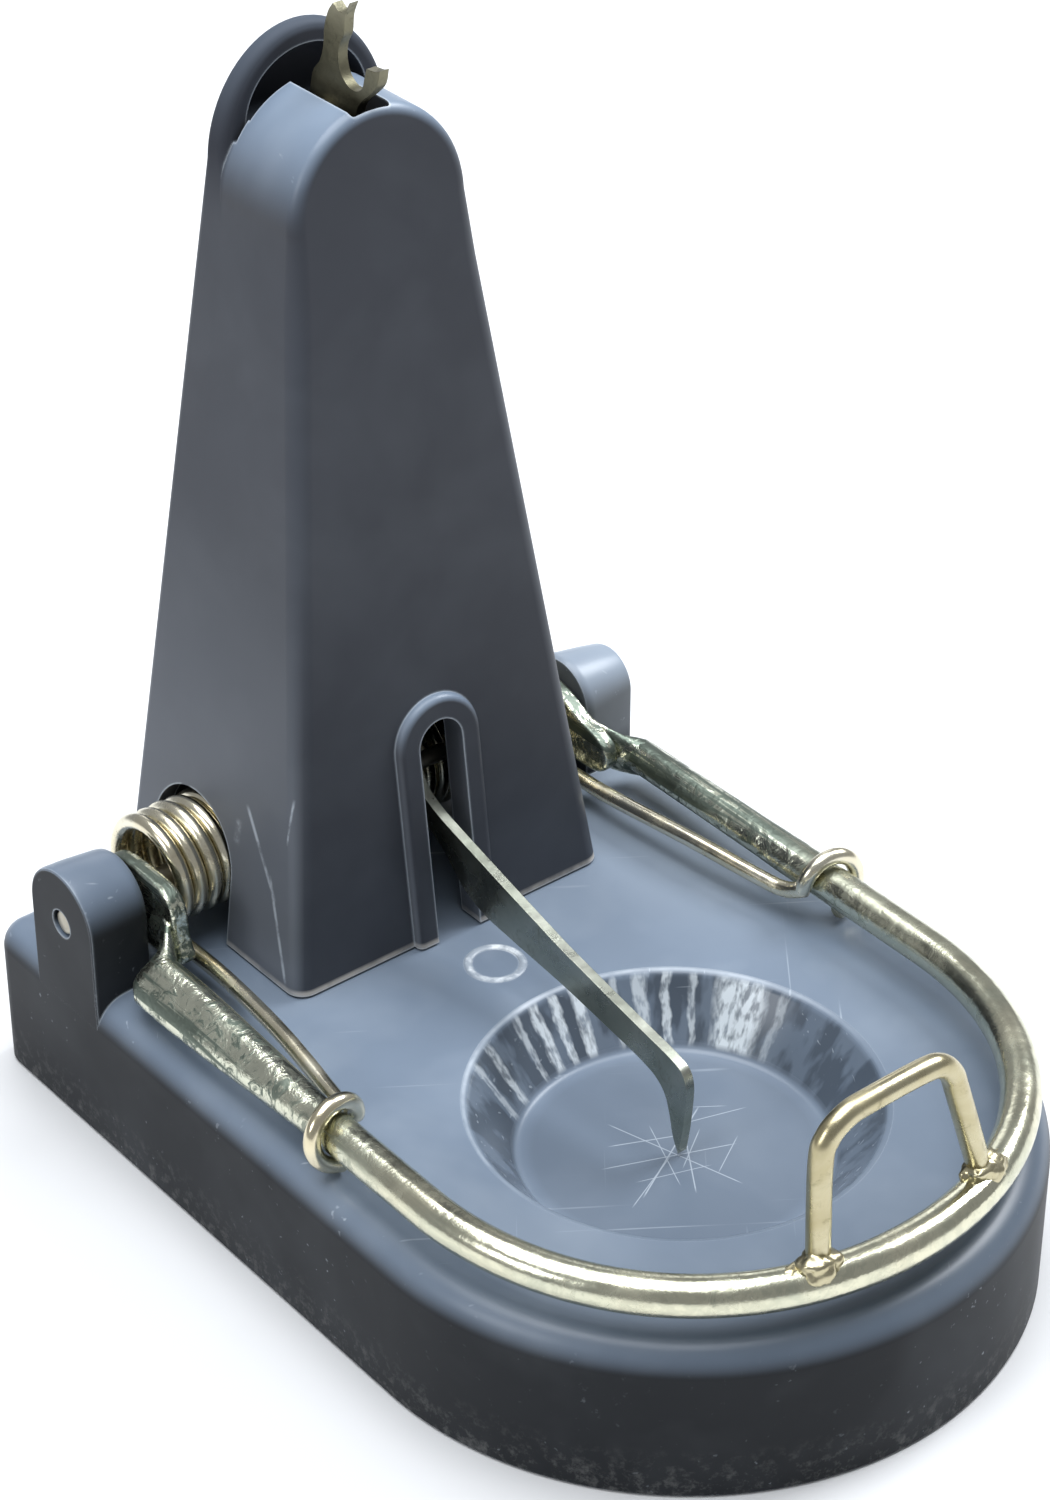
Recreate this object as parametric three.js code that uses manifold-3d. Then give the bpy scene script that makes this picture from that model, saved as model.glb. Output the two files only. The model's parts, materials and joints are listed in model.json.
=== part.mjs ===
// Snap mouse trap: a hollow plastic base and tower, a sprung wire jaw, a latch fork and a trigger.
// Millimetres, +Z up. The origin is at the middle of the base's underside, and the jaw's bow points to -Y.
// The model shows the trap fired, with the jaw down on the base.
import * as THREE from 'three';
import { mergeVertices } from 'three/addons/utils/BufferGeometryUtils.js';
import Module from 'manifold-3d';

const wasm = await Module();
wasm.setup();

// ---- driving dimensions -------------------------------------------------------------------------

const GAP = 0.3;                    // clearance between separate pieces
const SLIVER = 0.006;               // edges shorter than this are merged away after a boolean

// base
const BASE_WIDTH = 80;
const BASE_LENGTH = 115.5;
const BASE_HEIGHT = 19.7;
const BASE_EDGE = 2.8;              // rounded top edge
const BASE_CORNER = 3;              // rear corners in plan
const WALL = 2.4;                   // moulded wall of base and tower
const RIB = 1.6;
const RIB_BOTTOM = 4;
const CUP_Y = -17;
const CUP_RIM_RADIUS = 22.9;
const CUP_FLOOR_RADIUS = 17.5;
const CUP_DEPTH = 7.3;

// jaw hinge
const AXLE_Y = 42;
const AXLE_Z = 27.7;
const AXLE_RADIUS = 1.5;
const AXLE_LENGTH = 79.4;
const EAR_RADIUS = 6.2;
const RIGHT_EAR_RADIUS = 5.4;       // the right ear is a little slimmer
const EAR_THICKNESS = 8;
const EAR_CENTRE_Z = AXLE_Z + 0.6;

// jaw
const ROD_RADIUS = 2.25;
const ROD_Z = 24.3;
const BOW_RADIUS = 35.4;
const BOW_CENTRE_Y = -18.4;
const ARM_END_Y = 33;               // rear end of the rod, in front of the ears
const EYE_THICKNESS = 2;
const EYE_INNER_X = 29.4;           // inner face of each eyelet plate
const EYE_RADIUS = 4.9;

// setting bail, a bent wire welded on top of the bow
const BAIL_RADIUS = 1.25;
const BAIL_Y = -51.2;
const BAIL_BAR_Z = 43.8;
const BAIL_LEFT_X = -11.4;
const BAIL_RIGHT_X = 5.4;
const BAIL_RIGHT_FOOT_X = 11.4;

// torsion springs
const WIRE_RADIUS = 1;
const COIL_RADIUS = 5.9;            // to the middle of the wire
const COIL_Y = AXLE_Y + 1.2;        // the loose coil lies a little behind and above the axle
const COIL_Z = AXLE_Z + 0.9;
const COIL_PITCH = 2.2;
const COIL_TURNS = 11;
const COIL_OUTER_X = 27.2;
const ARM_START_X = 27.95;          // keeps the turning leg clear of the coil's first turn
const HOOK_RADIUS = 3.4;            // ring round the rod, to the middle of the wire
const HOOK_Y = -1.6;

// tower
const TOWER_BOTTOM = BASE_HEIGHT + GAP;
const TOWER_TOP = 125;              // blank height before the top is shaped
const TOWER_WIDTH = 44.3;           // at the base's top
const TOWER_SIDE_SLOPE = 0.124;     // each side leans in by this much per millimetre of height
const TOWER_FRONT_Y = 22;
const TOWER_FRONT_SLOPE = 0.121;
const TOWER_REAR_Y = 56.4;
const TOWER_REAR_SLOPE = 0.0775;
const TOWER_CORNER = 2.6;
const CROWN_Z = 106;                // where the arched top begins
const CROWN_HALF_WIDTH = 11.4;
const CROWN_HEIGHT = 12;
const HOOD_Z = 110;
const HOOD_HALF_WIDTH = 11.4;
const HOOD_HEIGHT = 13.5;
const HOOD_FRONT_Y = 45.6;
const GROOVE_FRONT_Y = 45.1;
const GROOVE_BOTTOM_Z = 112.6;
const SLOT_WIDTH = 6;
const SLOT_TOP_Z = 47.5;
const SLOT_RIM = 2.8;               // width of the raised rim round the slot
const SLOT_RIM_PROUD = 1.1;
const CROWN_SLOT_WIDTH = 5;
const CROWN_SLOT_FRONT_Y = 34.3;
const NOTCH_RADIUS = 7.6;           // side openings for the coils

// catch
const PLATE = 1.2;                  // thickness of fork and trigger
const LATCH_Y = 42.5;
const LATCH_Z = 114.5;
const LATCH_PIN_RADIUS = 0.9;
const TRIGGER_Y = 31;
const TRIGGER_Z = 37.5;
const TRIGGER_PIN_RADIUS = 1;
const RETURN_WIRE_RADIUS = 0.22;
const RETURN_COIL_RADIUS = 1.6;

// screws that hold the tower
const SCREW_X = 16.5;
const SCREW_FRONT_Y = 27;
const SCREW_REAR_Y = 51.8;
const SCREW_RADIUS = 1.25;
const SCREW_TIP_Z = 29;
const SCREW_HEAD_RADIUS = 3;
const SCREW_HEAD_HEIGHT = 2;
const BOSS_RADIUS = 2.9;
const BOSS_TOP_Z = 31;

// ---- geometry helpers ---------------------------------------------------------------------------

function solid(geometry) {
  const bare = geometry.clone();
  bare.deleteAttribute('normal');
  bare.deleteAttribute('uv');
  const merged = mergeVertices(bare, 1e-4);
  const vertProperties = new Float32Array(merged.attributes.position.array);
  const triVerts = new Uint32Array(merged.index.array);
  return new wasm.Manifold(new wasm.Mesh({ numProp: 3, vertProperties, triVerts }));
}

function join(...solids) {
  return solids.reduce((sum, next) => sum.add(next));
}

function cut(body, ...tools) {
  return tools.reduce((left, tool) => left.subtract(tool), body);
}

function geometryOf(manifold) {
  const mesh = manifold.simplify(SLIVER).getMesh();
  const geometry = new THREE.BufferGeometry();
  geometry.setAttribute('position', new THREE.BufferAttribute(new Float32Array(mesh.vertProperties), 3));
  geometry.setIndex(new THREE.BufferAttribute(new Uint32Array(mesh.triVerts), 1));
  return geometry;
}

function box(x0, x1, y0, y1, z0, z1) {
  const geometry = new THREE.BoxGeometry(x1 - x0, y1 - y0, z1 - z0);
  geometry.translate((x0 + x1) / 2, (y0 + y1) / 2, (z0 + z1) / 2);
  return solid(geometry);
}

function extrude(shape, depth, curveSegments) {
  return new THREE.ExtrudeGeometry(shape, { depth, bevelEnabled: false, curveSegments });
}

// A shape drawn in (x, y), raised from z0 to z1.
function prismZ(shape, z0, z1, curveSegments = 12) {
  const geometry = extrude(shape, z1 - z0, curveSegments);
  geometry.translate(0, 0, z0);
  return solid(geometry);
}

// A shape drawn in (y, z), carried from x0 to x1.
function prismX(shape, x0, x1, curveSegments = 12) {
  const geometry = extrude(shape, x1 - x0, curveSegments);
  const turn = new THREE.Matrix4().makeBasis(
    new THREE.Vector3(0, 1, 0), new THREE.Vector3(0, 0, 1), new THREE.Vector3(1, 0, 0));
  geometry.applyMatrix4(turn);
  geometry.translate(x0, 0, 0);
  return solid(geometry);
}

// A shape drawn in (x, z), carried from y0 to y1.
function prismY(shape, y0, y1, curveSegments = 12) {
  const geometry = extrude(shape, y1 - y0, curveSegments);
  const turn = new THREE.Matrix4().makeBasis(
    new THREE.Vector3(1, 0, 0), new THREE.Vector3(0, 0, 1), new THREE.Vector3(0, -1, 0));
  geometry.applyMatrix4(turn);
  geometry.translate(0, y1, 0);
  return solid(geometry);
}

// A round bar parallel to X.
function barX(radius, x0, x1, y, z, sides = 24) {
  const geometry = new THREE.CylinderGeometry(radius, radius, x1 - x0, sides);
  geometry.rotateZ(Math.PI / 2);
  geometry.translate((x0 + x1) / 2, y, z);
  return solid(geometry);
}

// A round bar parallel to Z.
function barZ(radius, x, y, z0, z1, sides = 20) {
  const geometry = new THREE.CylinderGeometry(radius, radius, z1 - z0, sides);
  geometry.rotateX(Math.PI / 2);
  geometry.translate(x, y, (z0 + z1) / 2);
  return solid(geometry);
}

// A wire of the given radius along a curve.
function wire(curve, radius, steps, sides) {
  const section = [];
  for (let i = 0; i < sides; i += 1) {
    const turn = (2 * Math.PI * i) / sides;
    section.push(new THREE.Vector2(radius * Math.cos(turn), radius * Math.sin(turn)));
  }
  return new THREE.ExtrudeGeometry(new THREE.Shape(section), { steps, extrudePath: curve, bevelEnabled: false });
}

function point(x, y, z) {
  return new THREE.Vector3(x, y, z);
}

function shapeOf(points) {
  return new THREE.Shape(points.map(([a, b]) => new THREE.Vector2(a, b)));
}

function mirrorX(manifold) {
  return manifold.mirror([1, 0, 0]);
}

// ---- base ---------------------------------------------------------------------------------------

// Plan of the base, set in by the given amount: straight sides and a half-round front.
function basePlan(inset) {
  const half = BASE_WIDTH / 2 - inset;
  const frontY = -BASE_LENGTH / 2 + BASE_WIDTH / 2;
  const rearY = BASE_LENGTH / 2 - inset;
  const corner = Math.max(BASE_CORNER - inset, 0.5);
  const plan = new THREE.Shape();
  plan.moveTo(-half, frontY);
  plan.absarc(0, frontY, half, Math.PI, 2 * Math.PI, false);
  plan.lineTo(half, rearY - corner);
  plan.absarc(half - corner, rearY - corner, corner, 0, Math.PI / 2, false);
  plan.lineTo(-half + corner, rearY);
  plan.absarc(-half + corner, rearY - corner, corner, Math.PI / 2, Math.PI, false);
  return plan;
}

// The base's outer block with its rounded top edge; the matching lower bevel is cut off.
function baseBlock() {
  const geometry = new THREE.ExtrudeGeometry(basePlan(0), {
    depth: BASE_HEIGHT,
    bevelThickness: BASE_EDGE,
    bevelSize: BASE_EDGE,
    bevelOffset: -BASE_EDGE,
    bevelSegments: 4,
    curveSegments: 20,
  });
  geometry.translate(0, 0, -BASE_EDGE);
  const whole = BASE_WIDTH;
  return cut(solid(geometry), box(-whole, whole, -whole, whole, -BASE_HEIGHT, 0));
}

// A closed cone with its flat ends at z0 and z1.
function cone(radius0, z0, radius1, z1) {
  const profile = [[0, z0], [radius0, z0], [radius1, z1], [0, z1]];
  const geometry = new THREE.LatheGeometry(profile.map(([r, z]) => new THREE.Vector2(r, z)), 40);
  geometry.rotateX(Math.PI / 2);
  geometry.translate(0, CUP_Y, 0);
  return solid(geometry);
}

function cupVoid() {
  const slope = (CUP_RIM_RADIUS - CUP_FLOOR_RADIUS) / CUP_DEPTH;
  const above = 2;
  const floorZ = BASE_HEIGHT - CUP_DEPTH;
  return cone(CUP_FLOOR_RADIUS, floorZ, CUP_RIM_RADIUS + slope * above, BASE_HEIGHT + above);
}

function cupShell() {
  const floorZ = BASE_HEIGHT - CUP_DEPTH - WALL;
  const topZ = BASE_HEIGHT - WALL / 2;
  return cone(CUP_FLOOR_RADIUS + 1, floorZ, CUP_RIM_RADIUS + WALL, topZ);
}

// One hinge ear: an arched block, flush with the base's side.
function ear(radius) {
  const arch = new THREE.Shape();
  arch.moveTo(AXLE_Y - radius, BASE_HEIGHT - WALL);
  arch.lineTo(AXLE_Y + radius, BASE_HEIGHT - WALL);
  arch.lineTo(AXLE_Y + radius, EAR_CENTRE_Z);
  arch.absarc(AXLE_Y, EAR_CENTRE_Z, radius, 0, Math.PI, false);
  const outerX = -BASE_WIDTH / 2;
  const block = prismX(arch, outerX, outerX + EAR_THICKNESS, 16);
  const foot = box(outerX, outerX + EAR_THICKNESS, AXLE_Y - radius, AXLE_Y + radius,
    BASE_HEIGHT - 2 * WALL, BASE_HEIGHT - WALL / 2);
  return block.add(foot);
}

function baseRibs() {
  const top = BASE_HEIGHT - WALL / 2;
  const sideX = 27;
  const crossYs = [14, 40];
  const rearY = BASE_LENGTH / 2 - WALL / 2;
  const halfInside = BASE_WIDTH / 2 - WALL / 2;
  const ribs = crossYs.map((y) => box(-halfInside, halfInside, y, y + RIB, RIB_BOTTOM, top));
  ribs.push(box(sideX, sideX + RIB, crossYs[0], rearY, RIB_BOTTOM, top));
  ribs.push(box(-sideX - RIB, -sideX, crossYs[0], rearY, RIB_BOTTOM, top));
  return join(...ribs);
}

function screwPlaces() {
  return [
    [-SCREW_X, SCREW_FRONT_Y], [SCREW_X, SCREW_FRONT_Y], [-SCREW_X, SCREW_REAR_Y], [SCREW_X, SCREW_REAR_Y],
  ];
}

function baseTray() {
  const inside = prismZ(basePlan(WALL), -1, BASE_HEIGHT - WALL, 20);
  // a square-edged seat carries the tower where the rounded rear edge would fall away under it
  const seat = box(-TOWER_WIDTH / 2 - 1, TOWER_WIDTH / 2 + 1, TOWER_FRONT_Y, BASE_LENGTH / 2,
    BASE_HEIGHT - WALL, BASE_HEIGHT);
  const shell = join(cut(baseBlock(), inside), cupShell(), seat, baseRibs(), ear(EAR_RADIUS), mirrorX(ear(RIGHT_EAR_RADIUS)));
  const axleHoles = barX(AXLE_RADIUS + GAP, -BASE_WIDTH, BASE_WIDTH, AXLE_Y, AXLE_Z);
  const screwHoles = screwPlaces().map(([x, y]) => barZ(SCREW_RADIUS + GAP, x, y, 0, BASE_HEIGHT + 1));
  return geometryOf(cut(shell, cupVoid(), axleHoles, ...screwHoles));
}

// ---- tower --------------------------------------------------------------------------------------

function towerSideX(z) {
  return TOWER_WIDTH / 2 - TOWER_SIDE_SLOPE * (z - BASE_HEIGHT);
}

function towerFrontY(z) {
  return TOWER_FRONT_Y + TOWER_FRONT_SLOPE * (z - BASE_HEIGHT);
}

function towerRearY(z) {
  return TOWER_REAR_Y - TOWER_REAR_SLOPE * (z - BASE_HEIGHT);
}

// Square outline from -1 to 1 with rounded corners, the unit section of the tower.
function unitSection(cornerX, cornerY) {
  const section = new THREE.Shape();
  section.moveTo(-1 + cornerX, -1);
  section.lineTo(1 - cornerX, -1);
  section.absellipse(1 - cornerX, -1 + cornerY, cornerX, cornerY, -Math.PI / 2, 0, false);
  section.lineTo(1, 1 - cornerY);
  section.absellipse(1 - cornerX, 1 - cornerY, cornerX, cornerY, 0, Math.PI / 2, false);
  section.lineTo(-1 + cornerX, 1);
  section.absellipse(-1 + cornerX, 1 - cornerY, cornerX, cornerY, Math.PI / 2, Math.PI, false);
  section.lineTo(-1, -1 + cornerY);
  section.absellipse(-1 + cornerX, -1 + cornerY, cornerX, cornerY, Math.PI, 1.5 * Math.PI, false);
  return section;
}

// A four-sided taper from z0 to z1 whose faces lie the given distance inside the tower's faces.
function taper(inset, z0, z1) {
  const corner = Math.max(TOWER_CORNER - inset, 0.6);
  const halfLength = (TOWER_REAR_Y - TOWER_FRONT_Y) / 2;
  const geometry = extrude(unitSection((2 * corner) / TOWER_WIDTH, corner / halfLength), 1, 5);
  const place = geometry.attributes.position;
  for (let i = 0; i < place.count; i += 1) {
    const z = z0 + (z1 - z0) * place.getZ(i);
    const front = towerFrontY(z) + inset;
    const rear = towerRearY(z) - inset;
    place.setX(i, place.getX(i) * (towerSideX(z) - inset));
    place.setY(i, (front + rear) / 2 + (place.getY(i) * (rear - front)) / 2);
    place.setZ(i, z);
  }
  return solid(geometry);
}

// An arch seen from the front: half an ellipse on a straight foot.
function archShape(halfWidth, springZ, height, footZ) {
  const arch = new THREE.Shape();
  arch.moveTo(-halfWidth, footZ);
  arch.lineTo(halfWidth, footZ);
  arch.lineTo(halfWidth, springZ);
  arch.absellipse(0, springZ, halfWidth, height, 0, Math.PI, false);
  return arch;
}

// Everything that the tower may fill above its shoulders, set in by the given amount.
function topForm(inset) {
  const low = CROWN_Z;
  const middle = (GROOVE_FRONT_Y + HOOD_FRONT_Y) / 2;
  const crown = prismY(archShape(CROWN_HALF_WIDTH - inset, CROWN_Z, CROWN_HEIGHT - inset, low - 1),
    0, middle, 14);
  const hood = prismY(archShape(HOOD_HALF_WIDTH - inset, HOOD_Z, HOOD_HEIGHT - inset, low - 1),
    middle, BASE_LENGTH, 14);
  const body = box(-BASE_WIDTH, BASE_WIDTH, -1, BASE_LENGTH, 0, low);
  return join(body, crown, hood);
}

function slotShape(grow) {
  const half = SLOT_WIDTH / 2 + grow;
  const springZ = SLOT_TOP_Z - SLOT_WIDTH / 2;
  return archShape(half, springZ, half, 0);
}

// The raised rim round the front slot, following the leaning front face.
function slotRim() {
  const rim = prismY(slotShape(SLOT_RIM), 0, TOWER_REAR_Y, 10);
  const proud = taper(-SLOT_RIM_PROUD, TOWER_BOTTOM, TOWER_TOP);
  const frontHalf = box(-BASE_WIDTH, BASE_WIDTH, 0, towerFrontY(TOWER_BOTTOM) + 2 * WALL, 0, TOWER_TOP);
  return rim.intersect(proud).intersect(frontHalf);
}

// The opening in each side wall that lets a coil through.
function sideNotch() {
  const notch = new THREE.Shape();
  notch.moveTo(COIL_Y - NOTCH_RADIUS, 0);
  notch.lineTo(COIL_Y + NOTCH_RADIUS, 0);
  notch.lineTo(COIL_Y + NOTCH_RADIUS, COIL_Z);
  notch.absarc(COIL_Y, COIL_Z, NOTCH_RADIUS, 0, Math.PI, false);
  return prismX(notch, -BASE_WIDTH, BASE_WIDTH, 12);
}

// Two webs inside the crown that carry the latch pin.
function latchWebs(outer) {
  const inner = CROWN_SLOT_WIDTH / 2 + GAP;
  const webs = [-1, 1].map((side) => {
    const x0 = side > 0 ? inner : -inner - WALL;
    return box(x0, x0 + WALL, TOWER_FRONT_Y, TOWER_REAR_Y, LATCH_Z - 6, TOWER_TOP);
  });
  return join(...webs).intersect(outer);
}

// Two short cheeks behind the slot that carry the trigger pin.
function triggerCheeks(outer) {
  const inner = SLOT_WIDTH / 2 + 2 * GAP;
  const cheeks = [-1, 1].map((side) => {
    const x0 = side > 0 ? inner : -inner - WALL;
    return box(x0, x0 + WALL, TOWER_FRONT_Y, TRIGGER_Y + 2.6, TRIGGER_Z - 4, TRIGGER_Z + 4);
  });
  return join(...cheeks).intersect(outer);
}

function screwBosses(outer) {
  const bosses = screwPlaces().map(([x, y]) => barZ(BOSS_RADIUS, x, y, TOWER_BOTTOM, BOSS_TOP_Z));
  return join(...bosses).intersect(outer);
}

function hoodCavity() {
  const wall = 2.2;
  const halfWidth = HOOD_HALF_WIDTH - 2 * wall;
  const cavity = archShape(halfWidth, HOOD_Z + 4, HOOD_HEIGHT - wall - 3, GROOVE_BOTTOM_Z);
  return prismY(cavity, GROOVE_FRONT_Y, towerRearY(HOOD_Z) - 1.4, 10);
}

function towerHousing() {
  const outer = taper(0, TOWER_BOTTOM, TOWER_TOP).intersect(topForm(0));
  const inner = taper(WALL, TOWER_BOTTOM - 1, TOWER_TOP).intersect(topForm(WALL))
    .subtract(box(-BASE_WIDTH, BASE_WIDTH, 0, BASE_LENGTH, GROOVE_BOTTOM_Z - WALL, TOWER_TOP))
    .add(crownRoom());
  const shell = cut(join(outer, slotRim()), inner);
  const fitted = join(shell, latchWebs(outer), triggerCheeks(outer), screwBosses(outer));
  const groove = box(-BASE_WIDTH, BASE_WIDTH, GROOVE_FRONT_Y, HOOD_FRONT_Y, GROOVE_BOTTOM_Z, TOWER_TOP);
  const crownSlot = box(-CROWN_SLOT_WIDTH / 2, CROWN_SLOT_WIDTH / 2, CROWN_SLOT_FRONT_Y, HOOD_FRONT_Y,
    CROWN_Z, TOWER_TOP);
  const frontSlot = prismY(slotShape(0), 0, TRIGGER_Y, 10);
  const pinHoles = [
    barX(LATCH_PIN_RADIUS + GAP, -6, 6, LATCH_Y, LATCH_Z),
    barX(TRIGGER_PIN_RADIUS + GAP, -7, 7, TRIGGER_Y, TRIGGER_Z),
  ];
  const screwHoles = screwPlaces().map(([x, y]) => barZ(SCREW_RADIUS + GAP, x, y, 0, SCREW_TIP_Z + 1));
  return geometryOf(cut(fitted, groove, hoodCavity(), crownSlot, frontSlot, sideNotch(), ...pinHoles,
    ...screwHoles));
}

// The hollow inside the crown, above the level of the groove's floor and in front of it.
function crownRoom() {
  const room = taper(WALL, CROWN_Z, TOWER_TOP).intersect(topForm(WALL));
  return room.intersect(box(-BASE_WIDTH, BASE_WIDTH, 0, GROOVE_FRONT_Y - WALL / 2, CROWN_Z, TOWER_TOP));
}

// ---- jaw ----------------------------------------------------------------------------------------

function bowCurve() {
  const curve = new THREE.CurvePath();
  const left = point(-BOW_RADIUS, ARM_END_Y, ROD_Z);
  const right = point(BOW_RADIUS, ARM_END_Y, ROD_Z);
  curve.add(new THREE.LineCurve3(left, point(-BOW_RADIUS, BOW_CENTRE_Y, ROD_Z)));
  curve.add(new BowArc());
  curve.add(new THREE.LineCurve3(point(BOW_RADIUS, BOW_CENTRE_Y, ROD_Z), right));
  return curve;
}

// The half-round front of the bow, from its left end to its right end.
class BowArc extends THREE.Curve {
  getPoint(t) {
    const turn = Math.PI * (1 + t);
    return point(BOW_RADIUS * Math.cos(turn), BOW_CENTRE_Y + BOW_RADIUS * Math.sin(turn), ROD_Z);
  }
}

// The rod's rear ends are pressed wide and flat: each point is moved by how far back it lies.
function flattenArms(geometry) {
  const startY = 2;
  const widen = 0.72;
  const thin = 0.42;
  const place = geometry.attributes.position;
  for (let i = 0; i < place.count; i += 1) {
    const t = THREE.MathUtils.smoothstep(place.getY(i), startY, ARM_END_Y - 3);
    const side = Math.sign(place.getX(i)) * BOW_RADIUS;
    const outward = place.getX(i) - side;
    place.setX(i, side + outward * (1 + widen * t) - Math.sign(side) * 0.6 * t);
    place.setZ(i, ROD_Z + (place.getZ(i) - ROD_Z) * (1 - thin * t) - 0.5 * t);
  }
  return geometry;
}

// The eyelet plate that stands up from the left arm's inner edge, seen from the side.
function eyelet() {
  const lowZ = ROD_Z - 1.6;
  const plate = new THREE.Shape();
  plate.moveTo(27.5, lowZ);
  plate.lineTo(AXLE_Y - 4.2, lowZ);
  plate.quadraticCurveTo(AXLE_Y - 2, lowZ, AXLE_Y, AXLE_Z - EYE_RADIUS);
  plate.absarc(AXLE_Y, AXLE_Z, EYE_RADIUS, -Math.PI / 2, Math.PI / 2, false);
  plate.lineTo(AXLE_Y - 4, AXLE_Z + 4.7);
  plate.quadraticCurveTo(AXLE_Y - 8.4, AXLE_Z + 4, AXLE_Y - 8.9, AXLE_Z);
  plate.quadraticCurveTo(AXLE_Y - 9.4, lowZ + 2.6, 27.5, lowZ + 1.6);
  const tab = prismX(plate, -EYE_INNER_X - EYE_THICKNESS, -EYE_INNER_X, 8);
  const bore = barX(AXLE_RADIUS + GAP, -BASE_WIDTH, BASE_WIDTH, AXLE_Y, AXLE_Z);
  return tab.subtract(bore);
}

function jawBow() {
  const rod = solid(flattenArms(wire(bowCurve(), ROD_RADIUS, 84, 12)));
  return geometryOf(join(rod, eyelet(), mirrorX(eyelet())));
}

// A wire that turns each corner of a chain of points on a curve of the given reach.
function bentCurve(points, reaches) {
  const curve = new THREE.CurvePath();
  let from = points[0];
  for (let i = 1; i < points.length - 1; i += 1) {
    const corner = points[i];
    const into = corner.clone().sub(from).setLength(reaches[i - 1]);
    const out = points[i + 1].clone().sub(corner).setLength(reaches[i - 1]);
    const start = corner.clone().sub(into);
    const end = corner.clone().add(out);
    curve.add(new THREE.LineCurve3(from, start));
    curve.add(new THREE.QuadraticBezierCurve3(start, corner, end));
    from = end;
  }
  curve.add(new THREE.LineCurve3(from, points[points.length - 1]));
  return curve;
}

function settingBail() {
  const footZ = ROD_Z + ROD_RADIUS + GAP;
  const corners = [
    point(BAIL_LEFT_X, BAIL_Y - 0.3, footZ),
    point(BAIL_LEFT_X, BAIL_Y, BAIL_BAR_Z),
    point(BAIL_RIGHT_X, BAIL_Y, BAIL_BAR_Z),
    point(BAIL_RIGHT_FOOT_X, BAIL_Y - 0.3, footZ),
  ];
  return wire(bentCurve(corners, [5, 3.4]), BAIL_RADIUS, 44, 10);
}

// ---- springs ------------------------------------------------------------------------------------

// The left coil runs inwards along the axle, and ends in a leg that presses on the base behind it.
class CoilCurve extends THREE.Curve {
  constructor(startTurn) {
    super();
    this.startTurn = startTurn;
    this.legLength = 9;
  }

  getPoint(t) {
    const coilShare = 0.97;
    const turn = this.startTurn + (COIL_TURNS - this.startTurn) * Math.min(t / coilShare, 1);
    const leg = this.legLength * Math.max((t - coilShare) / (1 - coilShare), 0);
    const angle = 2 * Math.PI * turn - Math.PI / 2;
    const x = -COIL_OUTER_X + COIL_PITCH * turn;
    return point(x, COIL_Y + COIL_RADIUS * Math.cos(angle) + leg, COIL_Z + COIL_RADIUS * Math.sin(angle));
  }
}

function springCoil() {
  const startTurn = 0.012;
  return wire(new CoilCurve(startTurn), WIRE_RADIUS, COIL_TURNS * 14, 6);
}

// The left spring's front leg and the ring that it makes round the jaw's rod.
class HookCurve extends THREE.Curve {
  getPoint(t) {
    const turns = 0.92;
    const lead = 3;
    const angle = 2 * Math.PI * turns * t;
    const x = -BOW_RADIUS + HOOK_RADIUS * Math.cos(angle);
    return point(x, HOOK_Y - lead * t, ROD_Z + HOOK_RADIUS * Math.sin(angle));
  }
}

function springArm() {
  const coilBottom = COIL_Z - COIL_RADIUS;
  const leg = new THREE.CatmullRomCurve3([
    point(-ARM_START_X, COIL_Y - GAP, coilBottom),
    point(-ARM_START_X, COIL_Y - 5, coilBottom + 0.1),
    point(-28.1, 28, coilBottom + 0.5),
    point(-29.5, 14, coilBottom + 0.9),
    point(-31.4, HOOK_Y + 3.4, ROD_Z - 0.9),
    point(-BOW_RADIUS + HOOK_RADIUS, HOOK_Y, ROD_Z),
  ]);
  const curve = new THREE.CurvePath();
  curve.add(leg);
  curve.add(new HookCurve());
  return wire(curve, WIRE_RADIUS, 64, 8);
}

function mirroredGeometry(geometry) {
  return geometryOf(mirrorX(solid(geometry)));
}

// ---- catch --------------------------------------------------------------------------------------

// The latch fork seen from the side: two prongs with a notch between them, and a nose below the pin.
function latchFork() {
  const fork = new THREE.Shape();
  fork.moveTo(37.2, 107.3);
  fork.lineTo(40.6, 107.3);
  fork.quadraticCurveTo(44.6, 109, 44.7, 113);
  fork.lineTo(43.4, 119.3);
  fork.quadraticCurveTo(41.4, 121.2, 41.3, 123.2);
  fork.quadraticCurveTo(41.1, 126, 39.5, 127.7);
  fork.lineTo(38, 127.3);
  fork.lineTo(36.7, 128.8);
  fork.quadraticCurveTo(37.9, 126.4, 37.9, 124.6);
  fork.quadraticCurveTo(39, 123, 38.9, 121.6);
  fork.absarc(36.6, 121.4, 2.35, 0, -Math.PI * 0.86, true);
  fork.lineTo(34, 122.3);
  fork.lineTo(33.4, 122.5);
  fork.lineTo(31.8, 122.9);
  fork.quadraticCurveTo(32.3, 121.2, 32.5, 120.1);
  fork.quadraticCurveTo(34.6, 119.3, 36, 117.3);
  fork.lineTo(36.4, 112);
  const plate = prismX(fork, -PLATE / 2, PLATE / 2, 6);
  return geometryOf(plate.subtract(barX(LATCH_PIN_RADIUS + GAP, -PLATE, PLATE, LATCH_Y, LATCH_Z, 16)));
}

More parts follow.
